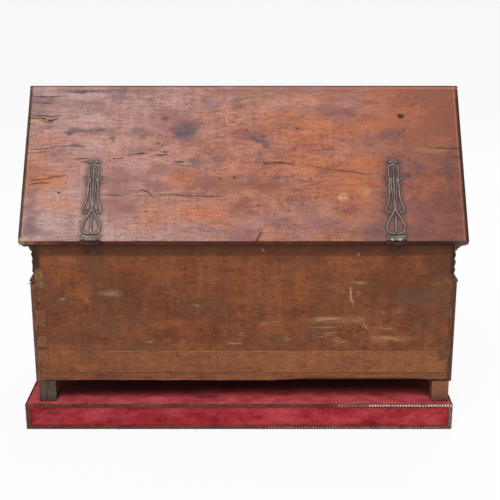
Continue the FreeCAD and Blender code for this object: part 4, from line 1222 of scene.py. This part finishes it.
def strap(side, material, knuckle_material):
    name = "right" if side > 0 else "left"
    shapes = [forged_bar(places, width, height, STRAP_LET_IN) for width, height, places in strap_bars()]
    shapes.append(base_plate(-STRAP_FOOT_HALF, STRAP_FOOT_HALF, 0.2, 9.0, STRAP_LET_IN, 1.5))
    flat, faces = joined(shapes)
    x, u, n = flat.T
    placed = slope_place(x + side * HINGE_X, u, n)
    stands_for = ["hinge_strap_" + name]
    piece = new_piece("forged_strap_" + name, placed, faces, material, "lid", stands_for, 50.0)
    # Grime and painted shade on the bars' lower flanks and on the base by the eave
    low = 0.95 * (1 - ramp(n, 0.7, 2.2))
    grime_and_shade = np.where(u < 11, 0.7 * low + 0.2 + 0.1 * side, low)
    # Painted glints on the right strap's base
    spots = (1 - ramp(np.abs(np.abs(x + 2.0) - 8.0), 2.0, 4.5)) * (1 - ramp(u, 2.5, 5.0))
    bright = 0.9 * spots * (side > 0)
    brown = (0.6 + 0.2 * side) * ramp(clouds(x, u, 16.0, 173, n), 0.4, 0.65) * ramp(u, 8, 14)
    add_layer(piece, "tone", brown, grime_and_shade, bright)
    rolls = []
    for x0, x1 in ((-STRAP_HALF, -LEAF_HALF), (LEAF_HALF, STRAP_HALF)):
        rolls += [knuckle(x0, x1), base_plate(x0, x1, HINGE_U, 1.5, 0.3, 2.4)]
    flat, faces = joined(rolls)
    placed = slope_place(flat[:, 0] + side * HINGE_X, flat[:, 1], flat[:, 2])
    new_piece("strap_knuckles_" + name, placed, faces, knuckle_material, "lid", (), 50.0)


# Plinth

def velvet_cover(material):
    """The cover, stretched over the plinth and turned down its four sides."""
    low, high = corners("plinth_velvet")
    fine = (0.0, 0.7, 1.5, 2.5, 4.0, 7.0)
    lines_x, lines_y = (edge_lines(low[axis], high[axis], 5.0, fine) for axis in (0, 1))
    lines_z = edge_lines(low[2], high[2], 2.6, (0.0, 0.8, 1.6, 3.0))
    flat, quads = block_surface(lines_x, lines_y, lines_z, True)
    # The block is carried on downwards, so that its open lower edge isn't rounded
    points, facing = rounded(flat, low - (0, 0, 20.0), high, 3.0)
    x, y, z = points.T
    swell = 1.3 * (clouds(0.5 * x, y, 60.0, 501, z) - 0.5) + 0.5 * (clouds(x, y, 14.0, 503, 0.6 * z) - 0.5)
    points += facing * (swell - 0.35)[:, None]
    faces = quads.tolist()
    piece = new_piece("velvet_cover", points, faces, material, "chest", ["plinth_velvet"], 60.0)
    # Painted shade on the cloth under the chest, which is also less faded there; the sides are a little
    # darker to the left
    reach = 122 - 20 * ramp(x, -250, 50)
    under_chest = (1 - ramp(np.abs(x), 350, 372)) * (1 - ramp(np.abs(y), reach, reach + 38))
    unfaded_and_shaded = np.where(z > high[2] - 8, 0.95 * under_chest, 0.14 * (1 - ramp(x, -180, 40)))
    add_layer(piece, "unfaded_and_shaded", unfaded_and_shaded, unfaded_and_shaded, unfaded_and_shaded)
    cloth = piece.modifiers.new("thickness", "SOLIDIFY")
    cloth.thickness = CLOTH * MM
    cloth.offset = -1.0


def nail_head(rings=3, sides=10):
    """A low dome."""
    points = []
    for i in range(rings):
        lift = i / rings * math.pi / 2
        radius = NAIL_RADIUS * math.cos(lift)
        for k in range(sides):
            turn = 2 * math.pi * k / sides
            points.append((radius * math.cos(turn), radius * math.sin(turn), NAIL_RISE * math.sin(lift)))
    points.append((0.0, 0.0, NAIL_RISE))
    last = (rings - 1) * sides
    tip = [[last + k, last + (k + 1) % sides, rings * sides] for k in range(sides)]
    return np.array(points), ring_faces(rings, sides, False) + tip


def nail_places():
    """Where the close-set nails of the plinth stand, which way they face, and how bright they are."""
    low, high = corners("plinth_braid_top")
    top = high[2] - NAIL_INSET
    base = corners("plinth_braid_bottom")[0][2] + NAIL_LIFT
    rng = np.random.default_rng(61)
    places = []

    def put(x, y, z, facing, shine):
        wander = rng.normal(0, 0.15, 2)
        across = np.array([facing[1], facing[0], 0.0])
        spot = np.array([x, y, z]) + across * wander[0] + np.array([0, 0, wander[1]])
        places.append((spot, np.array(facing, float), shine))

    def by_chance(share, other="dull"):
        return "worn" if rng.random() < share else other

    for z in (top, base):
        for x in np.arange(low[0] + 3.0, high[0] - 2.0, NAIL_PITCH):
            rear = "bright" if x > 226 else "worn" if x > 172 else "dull"
            below = by_chance(0.25, "dim") if x > 40 else "dull"
            put(x, low[1], z, (0, -1, 0), rear if z == top else below)
            put(x, high[1], z, (0, 1, 0), by_chance(0.15))
        for y in np.arange(low[1] + 3.0, high[1] - 2.0, NAIL_PITCH):
            put(low[0], y, z, (-1, 0, 0), by_chance(0.06))
            put(high[0], y, z, (1, 0, 0), "bright" if z == top else by_chance(0.3))
    for x, sign in ((low[0], -1), (high[0], 1)):
        for y, face in ((low[1], -1), (high[1], 1)):
            for z in np.arange(base + NAIL_PITCH, top - 2.0, NAIL_PITCH):
                put(x - sign * NAIL_INSET, y, z, (0, face, 0), "worn" if sign > 0 else "dull")
                put(x, y - face * NAIL_INSET, z, (sign, 0, 0), "worn" if sign > 0 else "dull")
    return places


# Each thread's line along the plinth and up its rear face; below nought it runs out over the floor
LOOSE_THREADS = (
    [(33, 4), (36, -3), (43, -9)],
    [(-232, 3), (-229, -3), (-231, -6)],
    [(-88, 3), (-91, -3), (-86, -6)],
)


def thread_place(x, along_face, lift):
    """A place on the rear face of the plinth's lower braid, or on the floor before it."""
    face = corners("plinth_braid_bottom")[0][1]
    height = np.maximum(along_face, 0) + np.maximum(lift, 0)
    return np.stack([x, face - lift + np.minimum(along_face, 0), height], axis=-1)


def nail_rows(shine, material):
    shape, shape_faces = nail_head()
    heads = []
    for spot, facing, how_bright in nail_places():
        if how_bright != shine:
            continue
        side = np.array([-facing[1], facing[0], 0.0])
        upward = np.cross(facing, side)
        head = spot + shape[:, :1] * side + shape[:, 1:2] * upward + shape[:, 2:] * facing
        heads.append((head, shape_faces))
    points, faces = joined(heads)
    new_piece("plinth_nails_" + shine, points, faces, material, "chest", (), 60.0)


# Dressing of the solids that keep their shape

def dress(names, material, soft=0.0):
    for name in names:
        piece = nodes[name]
        piece.data.materials.clear()
        piece.data.materials.append(material)
        if soft:
            rim = piece.modifiers.new("soft edges", "BEVEL")
            rim.width = soft * MM
            rim.segments = 2
            rim.limit_method = "ANGLE"
            rim.angle_limit = math.radians(40)


LID_TONES = ((112, 57, 41), (153, 85, 62), (181, 109, 81))
LID_MOTTLE = (
    (20.0, 0.52, 0.55, (146, 96, 104)),
    (34.0, 0.52, 0.5, (188, 118, 66)),
    (58.0, 0.55, 0.45, (118, 58, 50)),
    (90.0, 0.56, 0.4, (194, 128, 92)),
    (150.0, 0.53, 0.4, (150, 94, 102)),
    (190.0, 0.54, 0.45, (196, 126, 72)),
)
LID_LAYERS = (
    # A painted grey sheen, warm wood, and darker wood
    ("tone", ((172, 140, 135), (192, 110, 61), (94, 52, 50)), True),
    # Painted shade on the mouldings and the eave, a painted highlight beside them, and bare wood
    ("rims", ((52, 34, 28), (196, 134, 104), (150, 104, 74)), False),
    # Dark cracks and pits with grime and painted shade about the straps, stains, and pale marks
    ("marks", ((34, 22, 18), (86, 68, 76), (202, 154, 110)), True),
)
LID_UNDERSIDE_AND_SHADE = (108, 60, 44)
BACK_TONES = ((94, 49, 28), (123, 69, 41), (144, 88, 55))
BACK_MOTTLE = (
    (11.0, 0.5, 0.35, (108, 62, 40)),
    (18.0, 0.52, 0.45, (104, 72, 54)),
    (30.0, 0.52, 0.5, (156, 88, 48)),
    (48.0, 0.54, 0.4, (94, 52, 34)),
    (80.0, 0.54, 0.4, (152, 96, 60)),
    (130.0, 0.54, 0.35, (104, 66, 46)),
)
BACK_LAYERS = (
    # Orange streaks; the lighter lower plank with a painted highlight on its top edge; dark patches with
    # painted shade under the eave and at the ends
    ("tone", ((170, 92, 48), (160, 101, 64), (68, 36, 27)), True),
    ("marks", ((28, 18, 14), (92, 74, 60), (216, 172, 118)), True),
)
MOULDING_TONES = ((52, 34, 28), (84, 56, 44), (112, 76, 58))


def mark_wood(name, tones, seed, rough=0.7, gloss=0.2, axis="X"):
    """Wood for small marks, without grime, painted shade or wear of its own."""
    return wood(name, tones, axis, seed, rough, gloss, 0.0, 0.0)


def dress_lid():
    painted = wood(
        "lid_face", LID_TONES, "X", 1, 0.48, 0.22, 0.5, 0.2, (158, 112, 80),
        LID_MOTTLE, LID_LAYERS, LID_UNDERSIDE_AND_SHADE, reach=0.14, fine=0.27, rays=0.12, spread=0.068, open_pores=0.2,
    )
    calm_mottle = [(scale, low, 0.55 * share, shown) for scale, low, share, shown in LID_MOTTLE]
    plain = wood(
        "lid_plain", LID_TONES, "X", 2, 0.48, 0.22,
        mottle=calm_mottle, under=LID_UNDERSIDE_AND_SHADE, reach=0.1, fine=0.26, rays=0.1, spread=0.07, open_pores=0.3,
    )
    gable_tones = ((92, 54, 42), (126, 78, 60), (152, 100, 78))
    gable_wood = wood("gable_wood", gable_tones, "Y", 3, mottle=LID_MOTTLE[:1])
    lid_rear_board(painted)
    dress(["lid_front_slope"], plain, 0.5)
    dress(["lid_gable_left", "lid_gable_right"], gable_wood, 0.6)


def add_marks():
    """Cracks, scratches and torn wood, as thin pieces on the faces of lid, back and front."""
    crack_dark = mark_wood("crack_dark", ((26, 16, 13), (36, 22, 18), (50, 32, 25)), 16, 0.8, 0.1)
    rubbed_wood = mark_wood("rubbed_wood", ((146, 98, 64), (166, 116, 78), (184, 136, 94)), 19)
    lid_bare = mark_wood("lid_bare", ((164, 112, 78), (186, 134, 96), (204, 158, 118)), 21)
    bare_pale = mark_wood("bare_pale", ((188, 142, 100), (214, 170, 128), (230, 194, 154)), 17)
    torn_wood = mark_wood("torn_wood", ((92, 64, 46), (120, 86, 62), (142, 106, 78)), 20, 0.8, 0.1, "Z")
    rng = np.random.default_rng(41)
    cracks = [*splintered(LID_CRACKS, rng), (1.9, EAVE_CHIP), (1.1, EAVE_CHIP[:2])]
    slivers("lid_cracks", cracks, lid_mark_place, crack_dark, "lid", 43)
    slivers("lid_bare_streaks", splintered(LID_BARE, rng), lid_mark_place, lid_bare, "lid", 47)
    deep = []
    faint = []
    for strength, places in BACK_SCRATCHES:
        for line in frayed(places, rng):
            marks = deep if rng.random() < 0.6 * strength else faint
            marks.append((0.25 + 0.6 * strength, line))
    deep.append((1.3, BACK_DRIP[:4]))
    faint.append((1.1, BACK_DRIP[3:]))
    slivers("back_scratches", deep, back_mark_place, bare_pale, "chest", 53, 0.2)
    slivers("back_rubs", faint, back_mark_place, rubbed_wood, "chest", 59, 0.2)
    torn, ends = torn_corner(rng)
    slivers("corner_torn", torn, torn_place, torn_wood, "chest", 67, 0.2)
    slivers("corner_splinters", ends, torn_place, rubbed_wood, "chest", 71, 0.2)
    used = [*handling_scratches("facing_front", rng, 70), *key_scratches(rng)]
    slivers("front_scratches", used, front_place, rubbed_wood, "chest", 79, 0.2)
    slivers("coin_scratches", coin_scratches(rng), front_slope_place, lid_bare, "lid", 83, 0.2)


def dress_carcass():
    painted = wood(
        "back_face", BACK_TONES, "X", 4, 0.62, 0.2, 0.5, 0.3,
        mottle=BACK_MOTTLE, layers=BACK_LAYERS,
        reach=0.2, fine=0.28, rays=0.14, spread=0.09, open_pores=0.12,
    )
    plank_wood = wood("plank_wood", BACK_TONES, "X", 5, 0.62, 0.25, mottle=BACK_MOTTLE)
    left_wood = wood("left_end_wood", ((96, 56, 35), (124, 78, 50), (144, 97, 65)), "Y", 6, 0.62, 0.25)
    right_wood = wood("right_end_wood", ((80, 46, 32), (108, 65, 44), (130, 84, 58)), "Y", 15, 0.62, 0.25)
    base_tones = ((98, 54, 34), (132, 78, 50), (154, 98, 64))
    back_plank("back_plank_upper", SEAM, WALL_TOP, painted)
    back_plank("back_plank_lower", WALL_BASE, SEAM, painted)
    bottom_board(wood("base_wood", base_tones, "X", 7, 0.6, 0.25, mottle=BACK_MOTTLE))
    grey = wood("foot_grey", ((55, 43, 36), (84, 68, 57), (103, 87, 74)), "Z", 12, 0.75, 0.2)
    brown = wood("foot_brown", ((98, 60, 42), (132, 84, 60), (152, 104, 76)), "X", 13, 0.7, 0.2)
    feet = (("rear_left", grey), ("rear_right", brown), ("front_left", brown), ("front_right", grey))
    for number, (corner, material) in enumerate(feet):
        foot("foot_" + corner, material, 601 + 10 * number)
    dress(["lid_batten_rear", "lid_batten_front"], plank_wood, 0.6)
    dress(["front_plank_lower", "front_plank_upper"], plank_wood, 0.5)
    dress(["side_board_left"], left_wood, 0.3)
    dress(["side_board_right"], right_wood, 0.3)


def dress_mouldings():
    front_tones = ((78, 42, 30), (114, 64, 44), (140, 86, 60))
    dull_tones = ((66, 40, 29), (96, 60, 42), (120, 80, 56))
    dark_tones = ((54, 29, 22), (80, 44, 32), (106, 62, 44))
    dress(["facing_front"], wood("facing_long", front_tones, "X", 8, 0.42, 0.4, mottle=BACK_MOTTLE), 0.6)
    dress(["facing_left"], wood("facing_dull", dull_tones, "Y", 9, 0.42, 0.3, mottle=BACK_MOTTLE), 1.1)
    dress(["facing_right"], wood("facing_dark", dark_tones, "Y", 18, 0.42, 0.3), 1.1)
    long_wood = wood("moulding_long", MOULDING_TONES, "X", 10, 0.42, 0.4)
    end_wood = wood("moulding_end", MOULDING_TONES, "Y", 11, 0.42, 0.4)
    for number, kind in enumerate(("ledge", "frieze", "cornice")):
        worn_moulding(kind + "_front", long_wood, 701 + number, 1.6)
        worn_moulding(kind + "_left", end_wood, 711 + number, 1.8, 2.6)
        worn_moulding(kind + "_right", end_wood, 721 + number, 1.6, 1.0)


def dress_plinth():
    velvet_cover(velvet("red_velvet"))
    nail_rows("bright", nail_metal("bright_nails", (196, 190, 182), (238, 234, 228), 0.2, 0.35))
    nail_rows("worn", nail_metal("worn_nails", (124, 104, 96), (166, 146, 138), 0.2, 0.45))
    nail_rows("dim", nail_metal("dim_nails", (98, 76, 70), (140, 116, 108), 0.2, 0.45))
    nail_rows("dull", nail_metal("dull_nails", (80, 45, 33), (120, 76, 56), 0.4, 0.5))
    inner_wood = wood("plinth_wood", ((120, 92, 62), (160, 126, 88), (184, 150, 110)), "X", 14, 0.75, 0.2)
    dress(["plinth_rail_" + side for side in ("rear", "front", "left", "right")], inner_wood)
    dress(["plinth_top_board", "plinth_base_board"], inner_wood)
    galloon = braid_cloth("galloon")
    dress(["plinth_braid_" + place for place in ("top", "bottom", "corners")], galloon, 0.4)
    threads = [(0.9, line) for line in LOOSE_THREADS]
    slivers("loose_threads", threads, thread_place, galloon, "chest", 73, 0.2)


def dress_ironwork():
    # Rust, grime and painted shade, and painted glints
    strap_layers = (("tone", ((128, 94, 84), (44, 32, 28), (232, 224, 216)), True),)
    strap_tones = ((160, 146, 138), (132, 114, 102), (200, 188, 180))
    strap_iron = iron("strap_iron", *strap_tones, 0.45, 0.2, strap_layers)
    # Dark brown iron, darkened as painted shade where it lies under the eave
    leaf_iron = iron("leaf_iron", (76, 52, 43), (68, 44, 36), (90, 66, 55), 0.8, 0.0, gloss=0.1)
    nail_iron = iron("nail_iron", (120, 108, 102), (96, 78, 70), (176, 166, 160), 0.45, 0.2)
    lock_iron = iron("lock_iron", (92, 86, 82), (88, 66, 56), (150, 142, 136), 0.5, 0.6)
    for side in (-1, 1):
        strap(side, strap_iron, leaf_iron)
    dress(["hinge_leaf_left", "hinge_leaf_right", "hinge_pin_left", "hinge_pin_right"], leaf_iron, 0.3)
    dress(["strap_nails"], nail_iron)
    dress(["leaf_nails"], leaf_iron)
    dress(["coin_slot_plate", "escutcheon"], lock_iron, 0.3)
    dress(["lock_case", "lock_guides", "lock_bolt", "lock_staple"], lock_iron, 0.3)
    dress(["coin_plate_nails", "escutcheon_nails", "staple_nails"], lock_iron)


def dress_object():
    dress_lid()
    add_marks()
    dress_carcass()
    dress_mouldings()
    dress_plinth()
    dress_ironwork()


# Studio

WORLD_LIGHT = 0.31
LAMP_DISTANCE = 3.0
OBJECT_MIDDLE = 0.3
FLOOR_HALF = 80.0
FLOOR_LEVEL = -0.0004
CAMERA_PLACE = (0.0114, -1.9441, 0.8846)
CAMERA_DIP = math.radians(17.01)
CAMERA_LENS = 75.6
SENSOR_WIDTH = 36.0


def floor_material():
    f = Finish("pale_floor", 0)
    f.feed(f.surface, {"Base Color": paint((246, 246, 246)), "Roughness": 0.9})
    glow = f.add("ShaderNodeEmission", {"Color": (1, 1, 1, 1), "Strength": 1.0})
    rays = f.add("ShaderNodeLightPath").outputs
    seen = f.math("ADD", rays["Is Camera Ray"], rays["Is Glossy Ray"], clamp=True)
    seen = f.math("ADD", seen, rays["Is Transmission Ray"], clamp=True)
    inputs = {0: f.times(seen, 0.92), 1: f.surface.outputs[0], 2: glow.outputs[0]}
    f.feed(f.output, {"Surface": f.add("ShaderNodeMixShader", inputs).outputs[0]})
    return f.material


def add_floor():
    mesh = bpy.data.meshes.new("floor")
    rim = [(x * FLOOR_HALF, y * FLOOR_HALF, 0) for x, y in ((-1, -1), (1, -1), (1, 1), (-1, 1))]
    mesh.from_pydata(rim, [], [(0, 1, 2, 3)])
    mesh.materials.append(floor_material())
    floor = bpy.data.objects.new("floor", mesh)
    floor.location.z = FLOOR_LEVEL
    bpy.context.scene.collection.objects.link(floor)
    floor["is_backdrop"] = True


def add_world():
    """White to the eye, and a weak even light on the object."""
    world = bpy.data.worlds.new("studio")
    bpy.context.scene.world = world
    sky = Nodes(world)
    rays = sky.add("ShaderNodeLightPath").outputs
    strength = sky.span(rays["Is Camera Ray"], 0.0, 1.0, WORLD_LIGHT, 1.0)
    light = sky.add("ShaderNodeBackground", {"Color": (1, 1, 1, 1), "Strength": strength})
    sky.add("ShaderNodeOutputWorld", {"Surface": light.outputs[0]})


def add_lamp(name, turn, lift, size, power):
    """A soft box some way from the object, aimed at its middle."""
    turn, lift = math.radians(turn), math.radians(lift)
    data = bpy.data.lights.new(name, "AREA")
    data.shape = "RECTANGLE"
    data.size, data.size_y = size
    data.energy = power
    lamp = bpy.data.objects.new(name, data)
    lamp.location = (
        LAMP_DISTANCE * math.cos(lift) * math.sin(turn),
        -LAMP_DISTANCE * math.cos(lift) * math.cos(turn),
        OBJECT_MIDDLE + LAMP_DISTANCE * math.sin(lift),
    )
    lamp.rotation_euler = (math.pi / 2 - lift, 0, turn)
    bpy.context.scene.collection.objects.link(lamp)


def add_camera():
    data = bpy.data.cameras.new("camera")
    data.lens = CAMERA_LENS
    data.sensor_width = SENSOR_WIDTH
    camera = bpy.data.objects.new("camera", data)
    camera.location = CAMERA_PLACE
    camera.rotation_euler = (math.pi / 2 - CAMERA_DIP, 0, 0)
    bpy.context.scene.collection.objects.link(camera)
    bpy.context.scene.camera = camera


def studio():
    add_floor()
    add_world()
    add_lamp("key", -16, 54, (0.8, 1.2), 49.5)
    add_lamp("fill", 12, 36, (1.4, 0.8), 11.0)
    add_lamp("front", 160, 48, (1.6, 1.2), 40.0)
    add_camera()
    bpy.context.scene.view_settings.view_transform = "Standard"


dress_object()
studio()

boxes = {"cad": cad_box, "visual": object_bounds()}
{key: [list(map(float, corner)) for corner in box] for key, box in boxes.items()}
